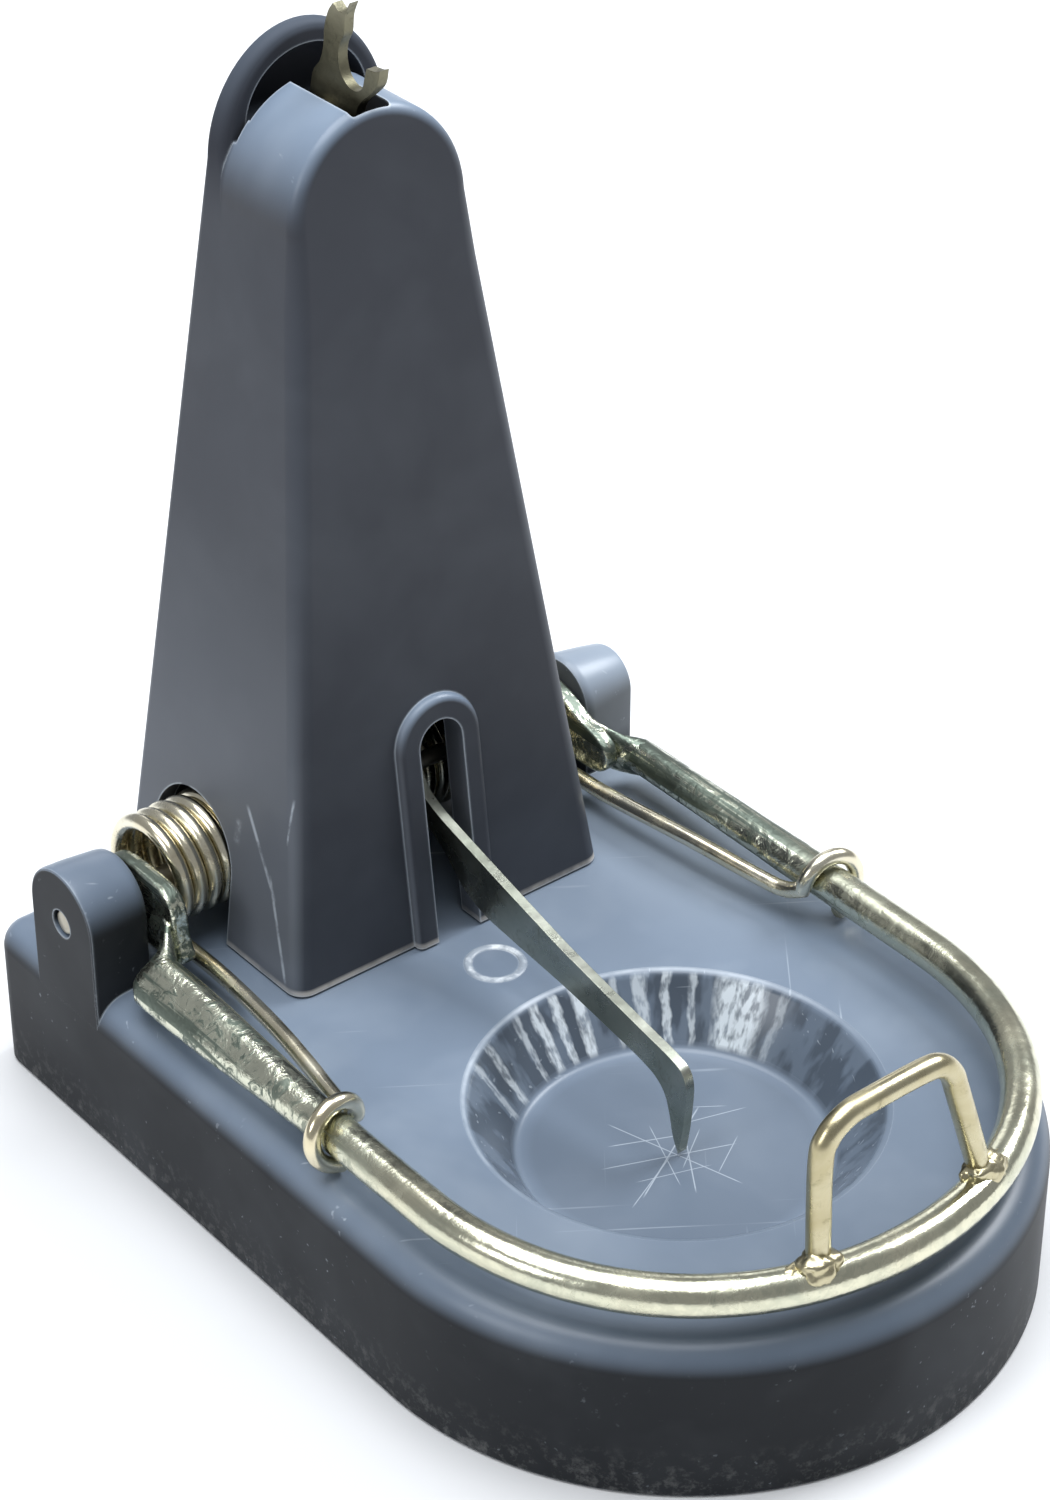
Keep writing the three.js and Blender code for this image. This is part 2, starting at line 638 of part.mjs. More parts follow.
// The trigger seen from the side: a foot in the bait cup, an arm and an upright inside the tower.
function triggerLever() {
  const strutTop = 105.9;
  const strutFront = towerFrontY(strutTop) + WALL + 0.6;
  const lever = new THREE.Shape();
  lever.moveTo(-18.2, BASE_HEIGHT - CUP_DEPTH + GAP);
  lever.lineTo(-16.8, 14.6);
  lever.quadraticCurveTo(-15.4, 21.3, -11, 22);
  lever.lineTo(2.2, 24.1);
  lever.lineTo(14.4, 25.6);
  lever.quadraticCurveTo(20.5, 27, 23, 30.8);
  lever.quadraticCurveTo(26, 34, 32.8, 34.2);
  lever.quadraticCurveTo(35.4, 36, 35.2, 40);
  lever.lineTo(strutFront + 2.9, strutTop);
  lever.lineTo(strutFront, strutTop);
  lever.lineTo(29.4, 43);
  lever.quadraticCurveTo(28.6, 37, 24, 34.9);
  lever.lineTo(2.2, 28.8);
  lever.lineTo(-12.3, 25.8);
  lever.quadraticCurveTo(-19.2, 25.2, -19.2, 21.4);
  lever.lineTo(-18.9, 15.4);
  const plate = prismX(lever, -PLATE / 2, PLATE / 2, 6);
  return geometryOf(plate.subtract(barX(TRIGGER_PIN_RADIUS + GAP, -PLATE, PLATE, TRIGGER_Y, TRIGGER_Z, 16)));
}

// The light hairpin spring that stands the fork up again, bent over the latch pin beside it.
class ReturnCurve extends THREE.Curve {
  getPoint(t) {
    const turns = 0.5;
    const legShare = 0.3;
    const legLength = 4;
    const coil = THREE.MathUtils.clamp((t - legShare) / (1 - 2 * legShare), 0, 1);
    const before = Math.max(legShare - t, 0) / legShare;
    const after = Math.max(t - 1 + legShare, 0) / legShare;
    const angle = 2 * Math.PI * turns * coil;
    const x = -2.1 + 0.8 * coil;
    const y = LATCH_Y + RETURN_COIL_RADIUS * Math.cos(angle);
    const z = LATCH_Z + RETURN_COIL_RADIUS * Math.sin(angle) - legLength * (before + after);
    return point(x, y, z);
  }
}

function latchSpring() {
  return wire(new ReturnCurve(), RETURN_WIRE_RADIUS, 24, 8);
}

// ---- pins and screws ----------------------------------------------------------------------------

function axle() {
  return geometryOf(barX(AXLE_RADIUS, -AXLE_LENGTH / 2, AXLE_LENGTH / 2, AXLE_Y, AXLE_Z));
}

function latchPin() {
  return geometryOf(barX(LATCH_PIN_RADIUS, -5, 5, LATCH_Y, LATCH_Z, 16));
}

function triggerPin() {
  return geometryOf(barX(TRIGGER_PIN_RADIUS, -5.8, 5.8, TRIGGER_Y, TRIGGER_Z, 16));
}

function towerScrew(x, y) {
  const headTop = BASE_HEIGHT - WALL - GAP;
  const profile = [
    [0, headTop - SCREW_HEAD_HEIGHT],
    [SCREW_HEAD_RADIUS - 0.5, headTop - SCREW_HEAD_HEIGHT],
    [SCREW_HEAD_RADIUS, headTop - SCREW_HEAD_HEIGHT + 0.6],
    [SCREW_HEAD_RADIUS, headTop],
    [SCREW_RADIUS, headTop],
    [SCREW_RADIUS, SCREW_TIP_Z - 1.5],
    [0, SCREW_TIP_Z],
  ];
  const geometry = new THREE.LatheGeometry(profile.map(([r, z]) => new THREE.Vector2(r, z)), 16);
  geometry.rotateX(Math.PI / 2);
  geometry.translate(x, y, 0);
  const recess = headTop - SCREW_HEAD_HEIGHT;
  const across = 1.8;
  const blade = 0.35;
  const slotA = box(x - across, x + across, y - blade, y + blade, recess - 1, recess + 1);
  const slotB = box(x - blade, x + blade, y - across, y + across, recess - 1, recess + 1);
  return geometryOf(cut(solid(geometry), slotA, slotB));
}

// ---- assembly -----------------------------------------------------------------------------------

const trap = new THREE.Group();

function addPiece(name, geometry, color, roughness, metalness) {
  const mesh = new THREE.Mesh(geometry, new THREE.MeshStandardMaterial({ color, roughness, metalness }));
  mesh.name = name;
  trap.add(mesh);
}

const BASE_GREY = 0x7485a0;
const TOWER_GREY = 0x4a4e57;
const ZINC = 0xc9c7a8;
const DULL_STEEL = 0x7d7a64;

addPiece('base_tray', baseTray(), BASE_GREY, 0.42, 0);
addPiece('tower_housing', towerHousing(), TOWER_GREY, 0.42, 0);
addPiece('axle', axle(), ZINC, 0.35, 1);
addPiece('jaw_bow', jawBow(), ZINC, 0.3, 1);
addPiece('setting_bail', settingBail(), ZINC, 0.32, 1);
addPiece('left_spring_coil', springCoil(), ZINC, 0.28, 1);
addPiece('right_spring_coil', mirroredGeometry(springCoil()), ZINC, 0.28, 1);
addPiece('left_spring_arm', springArm(), ZINC, 0.28, 1);
addPiece('right_spring_arm', mirroredGeometry(springArm()), ZINC, 0.28, 1);
addPiece('latch_fork', latchFork(), DULL_STEEL, 0.55, 1);
addPiece('latch_pin', latchPin(), ZINC, 0.35, 1);
addPiece('latch_spring', latchSpring(), ZINC, 0.3, 1);
addPiece('trigger_lever', triggerLever(), DULL_STEEL, 0.45, 1);
addPiece('trigger_pin', triggerPin(), ZINC, 0.35, 1);
screwPlaces().forEach(([x, y], i) => {
  addPiece(`tower_screw_${i + 1}`, towerScrew(x, y), ZINC, 0.4, 1);
});

export default trap;
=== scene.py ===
"""Snap mouse trap: the looks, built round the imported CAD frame.

Every shape is made in millimetres, and done() scales it to metres.
"""
import bpy
import bmesh
import json
import math
import numpy as np
from mathutils import Matrix, Vector, noise


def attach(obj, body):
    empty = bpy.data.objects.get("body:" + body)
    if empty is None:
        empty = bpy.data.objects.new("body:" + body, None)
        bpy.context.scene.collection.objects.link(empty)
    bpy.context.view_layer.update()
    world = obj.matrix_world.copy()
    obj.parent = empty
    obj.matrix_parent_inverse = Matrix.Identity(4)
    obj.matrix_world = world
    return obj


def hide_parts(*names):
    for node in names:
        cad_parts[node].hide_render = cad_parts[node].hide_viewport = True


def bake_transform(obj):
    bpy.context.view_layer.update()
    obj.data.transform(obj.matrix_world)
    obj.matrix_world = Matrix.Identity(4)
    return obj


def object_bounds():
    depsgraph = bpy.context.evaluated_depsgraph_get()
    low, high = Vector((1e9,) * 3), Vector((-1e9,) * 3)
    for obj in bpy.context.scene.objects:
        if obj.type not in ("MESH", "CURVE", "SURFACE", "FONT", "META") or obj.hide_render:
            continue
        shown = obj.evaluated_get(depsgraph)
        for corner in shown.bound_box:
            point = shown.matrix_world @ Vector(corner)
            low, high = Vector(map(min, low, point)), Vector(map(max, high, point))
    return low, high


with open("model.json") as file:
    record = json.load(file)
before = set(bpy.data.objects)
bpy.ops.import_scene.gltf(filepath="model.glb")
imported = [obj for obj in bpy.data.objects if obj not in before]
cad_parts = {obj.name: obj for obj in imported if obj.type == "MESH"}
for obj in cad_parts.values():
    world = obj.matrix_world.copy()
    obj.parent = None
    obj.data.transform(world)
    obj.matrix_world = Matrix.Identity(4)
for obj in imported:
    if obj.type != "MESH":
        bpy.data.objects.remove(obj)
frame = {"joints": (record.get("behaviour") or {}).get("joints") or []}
CAD_LOW, CAD_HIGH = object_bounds()
MM = 0.001

# ---- dimensions in millimetres --------------------------------------------------------------

HINGES = {joint["name"]: [round(v / MM, 3) for v in joint["pos_m"][1:]] for joint in frame["joints"]}
AXLE_Y, AXLE_Z = HINGES["jaw_hinge"]
LATCH = HINGES["latch_hinge"]
TRIGGER = HINGES["trigger_hinge"]
HALF_WIDTH = round(CAD_HIGH[0] / MM, 2)
REAR_Y = round(CAD_HIGH[1] / MM, 2)

DECK = 19.7             # height of the base's deck
WALL = 2.4              # wall thickness of both mouldings
DECK_ROUND = 3.6        # radius of the deck's outer edge
BASE_CORNER = 3.2       # radius of the base's rear corners
SCREWS = [(x, y) for y in (27, 51.8) for x in (-16.5, 16.5)]

CUP_Y = -17.0
CUP_DEPTH = 7.3
CUP_FLOOR = DECK - CUP_DEPTH
CUP_FLOOR_R = 17.5
CUP_TOP_R = 22.9
RING_X, RING_Y = -0.3, 14.1     # the small raised ring on the deck

TOWER_Z = DECK + 0.3    # lower edge of the tower
HOOD_Y = 45.6           # front of the hood behind the crown
CROWN = (106, 12)       # height where the arch starts, and how high it rises
HOOD = (110, 13.4)
SLOT_HALF = 3.0         # the trigger's slot in the tower's front
SLOT_TOP = 44.5

COIL_Y = 43.2
COIL_Z = 28.6
COIL_R = 5.9
COIL_PITCH = 2.02
COIL_TURNS = 11.6
WIRE_R = 0.97
ARM_X = 27.95           # where the spring's leg leaves the coil

ROD_Z = 24.3
ROD_R = 2.25
BOW_R = 35.4
BOW_Y = -18.4           # centre of the bow's half circle
ARM_REAR_Y = 30.0       # rear end of the bow's straight arms

# ---- mesh helpers ---------------------------------------------------------------------------


def linked(name, data):
    """An object for a mesh, a light or the camera, linked to the scene."""
    obj = bpy.data.objects.new(name, data)
    bpy.context.scene.collection.objects.link(obj)
    return obj


def aim(obj, at, to):
    """Puts a light or the camera at one point and turns it towards another."""
    obj.location = at
    obj.rotation_euler = (Vector(to) - Vector(at)).to_track_quat("-Z", "Y").to_euler()


def raw(name, verts, faces):
    """A closed mesh object whose faces point outwards."""
    mesh = bpy.data.meshes.new(name)
    mesh.from_pydata([tuple(map(float, v)) for v in verts], [], faces)
    bm = bmesh.new()
    bm.from_mesh(mesh)
    bmesh.ops.remove_doubles(bm, verts=bm.verts, dist=1e-5)
    bmesh.ops.recalc_face_normals(bm, faces=bm.faces)
    if bm.calc_volume(signed=True) < 0:
        bmesh.ops.reverse_faces(bm, faces=bm.faces)
    bm.to_mesh(mesh)
    bm.free()
    return linked(name, mesh)


def loft(name, rings):
    """Rings of equal length joined by quads, with an n-gon at each end."""
    n = len(rings[0])
    verts = [p for ring in rings for p in ring]
    faces = []
    for i in range(len(rings) - 1):
        for j in range(n):
            a, b = i * n + j, i * n + (j + 1) % n
            faces.append((a, b, b + n, a + n))
    faces.append(tuple(range(n - 1, -1, -1)))
    last = (len(rings) - 1) * n
    faces.append(tuple(range(last, last + n)))
    return raw(name, verts, faces)


def quarter(steps):
    """Angles from 0 to 90 degrees, both ends included."""
    return [math.pi / 2 * k / steps for k in range(steps + 1)]


def inset(outline, amount):
    """The outline moved inwards along its own corner directions."""
    amount = np.ones(len(outline)) * amount
    if np.abs(amount).max() < 1e-9:
        return list(outline)
    pts = np.array(outline, float)
    area = 0.5 * np.sum(pts[:, 0] * np.roll(pts[:, 1], -1) - np.roll(pts[:, 0], -1) * pts[:, 1])
    sign = 1 if area > 0 else -1
    before = pts - np.roll(pts, 1, 0)
    after = np.roll(pts, -1, 0) - pts
    before /= np.linalg.norm(before, axis=1)[:, None] + 1e-12
    after /= np.linalg.norm(after, axis=1)[:, None] + 1e-12
    normal_before = np.stack([-before[:, 1], before[:, 0]], 1) * sign
    normal_after = np.stack([-after[:, 1], after[:, 0]], 1) * sign
    middle = normal_before + normal_after
    middle /= np.linalg.norm(middle, axis=1)[:, None] + 1e-12
    stretch = np.clip(1 / np.maximum(np.sum(middle * normal_after, 1), 0.35), 1, 2.5)
    return [tuple(p) for p in pts + middle * (amount * stretch)[:, None]]


def prism(name, outline, place, low, high, edge=0.0, steps=3):
    """A flat outline carried from low to high, with rounded rims. place(u, v, w) gives the point."""
    if edge <= 0:
        return loft(name, [[place(u, v, w) for u, v in outline] for w in (low, high)])
    rims = []
    for end, inward in ((low, edge), (high, -edge)):
        rims.append([[place(u, v, end + inward * (1 - math.sin(a)))
                      for u, v in inset(outline, edge * (1 - math.cos(a)))] for a in quarter(steps)])
    return loft(name, rims[0][::-1] + rims[1])


def along_x(u, v, w):
    return (w, u, v)


def along_y(u, v, w):
    return (u, w, v)


def along_z(u, v, w):
    return (u, v, w)


def arc(cu, cv, ru, rv, a0, a1, n):
    """Points of an elliptic arc, angles in degrees, both ends included."""
    return [(cu + ru * math.cos(math.radians(a0 + (a1 - a0) * i / n)),
             cv + rv * math.sin(math.radians(a0 + (a1 - a0) * i / n))) for i in range(n + 1)]


def smooth_outline(points, rounds):
    """A polygon whose corners become small curves; rounds is the reach of all corners, or of each."""
    out = []
    n = len(points)
    for i in range(n):
        p = Vector(points[i])
        a = Vector(points[i - 1])
        b = Vector(points[(i + 1) % n])
        reach = rounds[i] if isinstance(rounds, list) else rounds
        start = p + (a - p).normalized() * min(reach, (a - p).length * 0.45)
        end = p + (b - p).normalized() * min(reach, (b - p).length * 0.45)
        for k in range(6):
            t = k / 5
            out.append(tuple(start * (1 - t) ** 2 + p * 2 * t * (1 - t) + end * t ** 2))
    return out


def catmull(points, per):
    """A smooth curve through the points, with per steps in each span."""
    pts = [Vector(p) for p in points]
    pts = [pts[0] * 2 - pts[1]] + pts + [pts[-1] * 2 - pts[-2]]
    out = []
    for i in range(1, len(pts) - 2):
        p0, p1, p2, p3 = pts[i - 1:i + 3]
        for k in range(per):
            t = k / per
            out.append(0.5 * ((2 * p1) + (p2 - p0) * t + (2 * p0 - 5 * p1 + 4 * p2 - p3) * t * t
                              + (3 * p1 - p0 - 3 * p2 + p3) * t ** 3))
    out.append(pts[-2])
    return out


def curve(points, per):
    """The same smooth curve in two dimensions."""
    return [(p.x, p.y) for p in catmull([(u, v, 0) for u, v in points], per)]


def lathe(name, profile, centre, axis="Z", n=72):
    """A closed turned solid: profile is (radius, height), starting and ending on the axis."""
    verts, faces, rows = [], [], []
    for r, h in profile:
        if r < 1e-6:
            rows.append([len(verts)])
            verts.append((0, 0, h))
        else:
            rows.append(list(range(len(verts), len(verts) + n)))
            angles = [2 * math.pi * i / n for i in range(n)]
            verts += [(r * math.cos(a), r * math.sin(a), h) for a in angles]
    for a, b in zip(rows, rows[1:]):
        for i in range(n):
            j = (i + 1) % n
            if len(a) == 1:
                faces.append((a[0], b[i], b[j]))
            elif len(b) == 1:
                faces.append((a[i], a[j], b[0]))
            else:
                faces.append((a[i], a[j], b[j], b[i]))
    if axis == "X":
        verts = [(z, x, y) for x, y, z in verts]
    verts = [(x + centre[0], y + centre[1], z + centre[2]) for x, y, z in verts]
    return raw(name, verts, faces)


def cylinder(name, axis, centre, r, low, high, n=48, edge=0.0):
    """A pin or a bore from low to high, with rounded rims when edge is given."""
    profile = [(0, low), (r, low), (r, high), (0, high)]
    if edge:
        part = edge * 0.3
        profile = [(0, low), (r - edge, low), (r - part, low + part), (r, low + edge),
                   (r, high - edge), (r - part, high - part), (r - edge, high), (0, high)]
    return lathe(name, profile, centre, axis, n)


def combine(target, tools, operation="DIFFERENCE"):
    """Cuts the tools out of the target, or joins them to it, and removes them."""
    for tool in tools:
        mod = target.modifiers.new("combine", "BOOLEAN")
        mod.operation = operation
        mod.object = tool
        mod.solver = "MANIFOLD"
    bpy.context.view_layer.update()
    dg = bpy.context.evaluated_depsgraph_get()
    mesh = bpy.data.meshes.new_from_object(target.evaluated_get(dg))
    target.modifiers.clear()
    target.data = mesh
    for tool in tools:
        bpy.data.objects.remove(tool)
    return target


def frames(path, up):
    """A direction and two side vectors at each point, turned as little as possible."""
    out = []
    side = None
    for i in range(len(path)):
        t = (path[min(i + 1, len(path) - 1)] - path[max(i - 1, 0)]).normalized()
        if side is None:
            side = Vector(up).cross(t)
        side = (side - t * side.dot(t)).normalized()
        out.append((t, side, t.cross(side)))
    return out


def tube(name, path, radius, sides, up):
    """A round wire along a path, with softly rounded ends."""
    path = [Vector(p) for p in path]
    turned = frames(path, up)
    rings = []
    for p, (_, s, b) in zip(path, turned):
        angles = [2 * math.pi * k / sides for k in range(sides)]
        rings.append([p + s * (radius * math.cos(a)) + b * (radius * math.sin(a)) for a in angles])
    cap = 0.35
    ends = []
    for end, sign in ((0, -1), (-1, 1)):
        t = turned[end][0] * sign
        p = path[end]
        extra = []
        for a in quarter(3)[1:]:
            shrink = 1 - cap * (1 - math.cos(a))
            extra.append([p + (q - p) * shrink + t * cap * radius * math.sin(a) for q in rings[end]])
        ends.append(extra)
    return loft(name, ends[0][::-1] + rings + ends[1])


def done(obj, body, material, replaces, sharp_angle):
    """Scales a piece to metres, sets its shading, its material and what it rides on."""
    obj.data.transform(Matrix.Scale(MM, 4))
    obj.data.materials.clear()
    obj.data.materials.append(material)
    for p in obj.data.polygons:
        p.use_smooth = True
        p.material_index = 0
    obj.data.set_sharp_from_angle(angle=math.radians(sharp_angle))
    mod = obj.modifiers.new("normals", "WEIGHTED_NORMAL")
    mod.keep_sharp = True
    if body:
        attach(obj, body)
    if replaces:
        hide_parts(*replaces)
    return obj


# ---- shader helpers -------------------------------------------------------------------------


def shade(color, factor):
    return tuple(c * factor for c in color)


class Nodes:
    """A material with helpers that add and link shader nodes."""

    def __init__(self, name):
        self.mat = bpy.data.materials.new(name)
        self.mat.use_nodes = True
        self.tree = self.mat.node_tree
        self.bsdf = self.tree.nodes["Principled BSDF"]
        self.coord = self.tree.nodes.new("ShaderNodeTexCoord").outputs["Object"]

    def add(self, kind, inputs=None, **settings):
        node = self.tree.nodes.new(kind)
        for k, v in settings.items():
            setattr(node, k, v)
        for k, v in (inputs or {}).items():
            self.put(node, k, v)
        return node

    def put(self, node, key, value):
        socket = node.inputs[key]
        if isinstance(value, bpy.types.NodeSocket):
            self.tree.links.new(value, socket)
        else:
            socket.default_value = value

    def axes(self, vector):
        return self.add("ShaderNodeSeparateXYZ", {0: vector}).outputs

    def stretched(self, scale, vector=None):
        return self.add("ShaderNodeMapping", {"Vector": vector or self.coord, "Scale": scale}).outputs[0]

    def noise(self, scale, detail, rough, vector=None, distortion=0.0):
        inputs = {"Vector": vector or self.coord, "Scale": scale, "Detail": detail,
                  "Roughness": rough, "Distortion": distortion}
        return self.add("ShaderNodeTexNoise", inputs).outputs[0]

    def range(self, value, a, b, c, d, kind="LINEAR"):
        """Maps a to b onto c to d, and stays at c or d outside them."""
        inputs = {"Value": value, "From Min": a, "From Max": b, "To Min": c, "To Max": d}
        return self.add("ShaderNodeMapRange", inputs, interpolation_type=kind).outputs[0]

    def mix(self, fac, a, b):
        node = self.add("ShaderNodeMix", {0: fac}, data_type="RGBA", blend_type="MIX")
        for i, v in ((6, a), (7, b)):
            self.put(node, i, v if isinstance(v, bpy.types.NodeSocket) else (*v, 1))
        return node.outputs[2]

    def math(self, op, a, b=0.0):
        return self.add("ShaderNodeMath", {0: a, 1: b}, operation=op).outputs[0]

    def times(self, first, *others):
        for other in others:
            first = self.math("MULTIPLY", first, other)
        return first

    def most(self, a, b):
        return self.math("MAXIMUM", a, b)

    def apart(self, a, b):
        """How far a is from b."""
        return self.math("ABSOLUTE", self.math("SUBTRACT", a, b))

    def from_axis(self, x, y):
        """The level offset from the upright axis at x, y (metres), and its length."""
        kind = "ShaderNodeVectorMath"
        offset = self.add(kind, {0: self.coord, 1: (x, y, 0)}, operation="SUBTRACT").outputs[0]
        level = self.add(kind, {0: offset, 1: (1, 1, 0)}, operation="MULTIPLY").outputs[0]
        return level, self.add(kind, {0: level}, operation="LENGTH").outputs["Value"]

    def bump(self, height, strength, distance, normal=None):
        inputs = {"Height": height, "Strength": strength, "Distance": distance}
        if normal is not None:
            inputs["Normal"] = normal
        return self.add("ShaderNodeBump", inputs).outputs[0]

    def set(self, **values):
        names = {"color": "Base Color", "rough": "Roughness", "metal": "Metallic", "normal": "Normal",
                 "specular": "Specular IOR Level", "ior": "IOR"}
        for k, v in values.items():
            if k == "color" and not isinstance(v, bpy.types.NodeSocket):
                v = (*v, 1)
            self.put(self.bsdf, names[k], v)


def streaks(n, across, along, turn, seed, low, high):
    """Straight thin streaks: across and along are noise scales per metre, turn is the mapping's rotation."""
    turned = n.add("ShaderNodeMapping", {"Vector": n.coord, "Rotation": (0.0, 0.0, turn),
                                         "Location": (seed, 1.7 * seed, 0.3 * seed)}).outputs[0]
    lines = n.stretched((along, across, across), turned)
    line = n.range(n.noise(1.0, 1, 0.5, lines), low, high, 0.0, 1.0)
    return n.times(line, n.range(n.noise(45.0, 2, 0.5, turned), 0.50, 0.60, 0.0, 1.0))


def segment_mask(n, axes, a, b, width):
    """1 near a straight segment laid out in two of the object's axes, in millimetres."""
    xyz = n.axes(n.coord)
    u = n.math("SUBTRACT", n.times(xyz[axes[0]], 1000.0), a[0])
    v = n.math("SUBTRACT", n.times(xyz[axes[1]], 1000.0), a[1])
    du, dv = b[0] - a[0], b[1] - a[1]
    length = math.hypot(du, dv)
    du, dv = du / length, dv / length
    along = n.math("ADD", n.times(u, du), n.times(v, dv))
    line = n.range(n.apart(n.times(u, dv), n.times(v, du)), width * 0.2, width, 1.0, 0.0)
    ends = n.times(n.range(along, 0.0, 1.0, 0.0, 1.0), n.range(along, length - 1.0, length, 1.0, 0.0))
    return n.times(line, ends)


def ring_mask(n, x, y, radius, width):
    """1 on a broken circle round an upright axis, in metres."""
    off = n.apart(n.from_axis(x, y)[1], radius)
    broken = n.range(n.noise(420.0, 4, 0.6), 0.42, 0.6, 0.25, 1.0)
    return n.times(n.range(off, width * 0.35, width, 1.0, 0.0), broken)


def edge_wear(n):
    """1 on convex and concave edges, 0 on flats."""
    bevel = n.add("ShaderNodeBevel", {"Radius": 0.5 * MM}, samples=6).outputs[0]
    normal = n.add("ShaderNodeNewGeometry").outputs["Normal"]
    dot = n.add("ShaderNodeVectorMath", {0: bevel, 1: normal}, operation="DOT_PRODUCT").outputs["Value"]
    return n.range(dot, 0.985, 0.80, 0.0, 1.0)


# ---- plastic --------------------------------------------------------------------------------

PALE = (0.62, 0.68, 0.74)       # scratches, haze and worn edges; also painted light on the right ear and deck, and the painted highlight on the cup's rim
# painted highlight colour of the glints on the cup's wall
GLINT = (0.78, 0.84, 0.88)
RUB_MARK = (0.84, 0.88, 0.90)
DUST = (0.26, 0.26, 0.25)
FOOT_EDGE_HIGHLIGHT = (0.55, 0.51, 0.46)       # painted highlight along the tower's lower edge
LEFT_PAINTED_LIGHT = (0.40, 0.44, 0.50)
FRONT_PAINTED_SHADE = (0.05, 0.065, 0.085)

# painted highlights, glossy reflection streaks on the cup's wall: angle and half width in degrees, strength
CUP_GLINTS = (
    (29.0, 9.0, 1.0), (16.0, 2.0, 0.35), (44.0, 1.6, 0.6), (52.0, 1.8, 0.75), (60.0, 2.6, 0.6),
    (68.0, 1.4, 0.5), (80.0, 2.6, 0.9), (88.0, 2.0, 0.9), (95.0, 2.4, 0.8), (102.0, 1.6, 0.5),
    (117.0, 2.2, 0.6), (126.0, 1.6, 0.45), (196.0, 2.0, 0.15), (330.0, 3.0, 0.12))

# fine cuts in the cup's floor: two ends in x and y, and a width
CUP_CUTS = (
    ((-8.0, -21.0), (7.0, -13.0), 0.12), ((-3.0, -24.0), (6.0, -10.5), 0.10),
    ((2.0, -26.0), (-3.0, -9.0), 0.09), ((-8.5, -14.5), (6.0, -20.5), 0.09),
    ((-10.0, -21.5), (-1.0, -17.5), 0.08), ((-7.0, -18.5), (1.5, -21.5), 0.07),
    ((1.0, -23.0), (7.0, -19.5), 0.07), ((-1.5, -20.0), (4.5, -16.0), 0.08),
    ((6.0, -12.5), (9.5, -15.0), 0.07), ((-3.5, -22.0), (0.5, -12.0), 0.07),
    ((-5.5, -12.0), (2.0, -15.5), 0.10), ((3.0, -14.0), (11.0, -16.5), 0.08))

# scuffs on the tower's left side: two ends in y and z, and a width
TOWER_SCUFFS = (
    ((34.0, 39.5), (27.6, 30.0), 0.40), ((29.0, 33.0), (24.6, 20.6), 0.36),
    ((35.2, 37.0), (35.5, 33.4), 0.7), ((26.0, 44.0), (26.3, 38.0), 0.2))


class Plastic(Nodes):
    """Moulded plastic: clouds, haze, fine scratches and pale worn edges, with painted shade on the steep
    walls. skin is the colour so far.
    """

    def __init__(self, name, color, shaded_wall_color):
        super().__init__(name)
        self.x, self.y, self.z = self.axes(self.coord)
        normal = self.add("ShaderNodeNewGeometry").outputs["Normal"]
        self.rightward, _, self.up = self.axes(normal)
        self.flat = self.range(self.up, 0.05, 0.85, 0.0, 1.0, "SMOOTHSTEP")
        self.wall = self.math("SUBTRACT", 1.0, self.flat)
        cloud = self.range(self.noise(26.0, 5, 0.6), 0.3, 0.7, 0.0, 1.0)
        # painted shade: steep walls take the much darker wall colour, flat tops the lighter one
        top = self.mix(cloud, shade(color, 0.92), shade(color, 1.08))
        side = self.mix(cloud, shade(shaded_wall_color, 0.86), shade(shaded_wall_color, 1.14))
        self.skin = self.mix(self.flat, side, top)
        haze = self.range(self.noise(60.0, 3, 0.55, distortion=0.3), 0.45, 0.85, 0.0, 1.0)
        self.tint(PALE, haze, self.range(self.wall, 0.0, 1.0, 0.14, 0.03))
        marks = self.most(streaks(self, 1300.0, 20.0, 0.6, 0.31, 0.70, 0.77),
                          streaks(self, 1700.0, 26.0, -0.9, 0.53, 0.72, 0.78))
        self.marks = self.times(marks, self.range(self.flat, 0.4, 0.9, 0.0, 1.0))

    def tint(self, color, *masks):
        """Mixes a colour into the skin where the masks overlap."""
        self.skin = self.mix(self.times(*masks), self.skin, color)

    def finish(self, wear, rougher, wall_specular, dull):
        """Scratches and worn edges, then the sheen, which goes away where dull is 1."""
        self.tint(PALE, self.marks, 0.38)
        self.tint(PALE, wear, 0.58)
        rough = self.range(self.noise(70.0, 2, 0.5), 0.3, 0.72, 0.31, 0.36)
        for more in (self.times(self.wall, 0.14), self.times(self.marks, 0.25), rougher):
            rough = self.math("ADD", rough, more)
        specular = self.range(self.wall, 0.0, 1.0, 0.42, wall_specular)
        specular = self.times(specular, self.math("SUBTRACT", 1.0, dull))
        bump = self.bump(self.noise(38.0, 2, 0.5), 0.22, 0.0006)
        self.set(color=self.skin, rough=rough, normal=bump, specular=specular, ior=1.5)


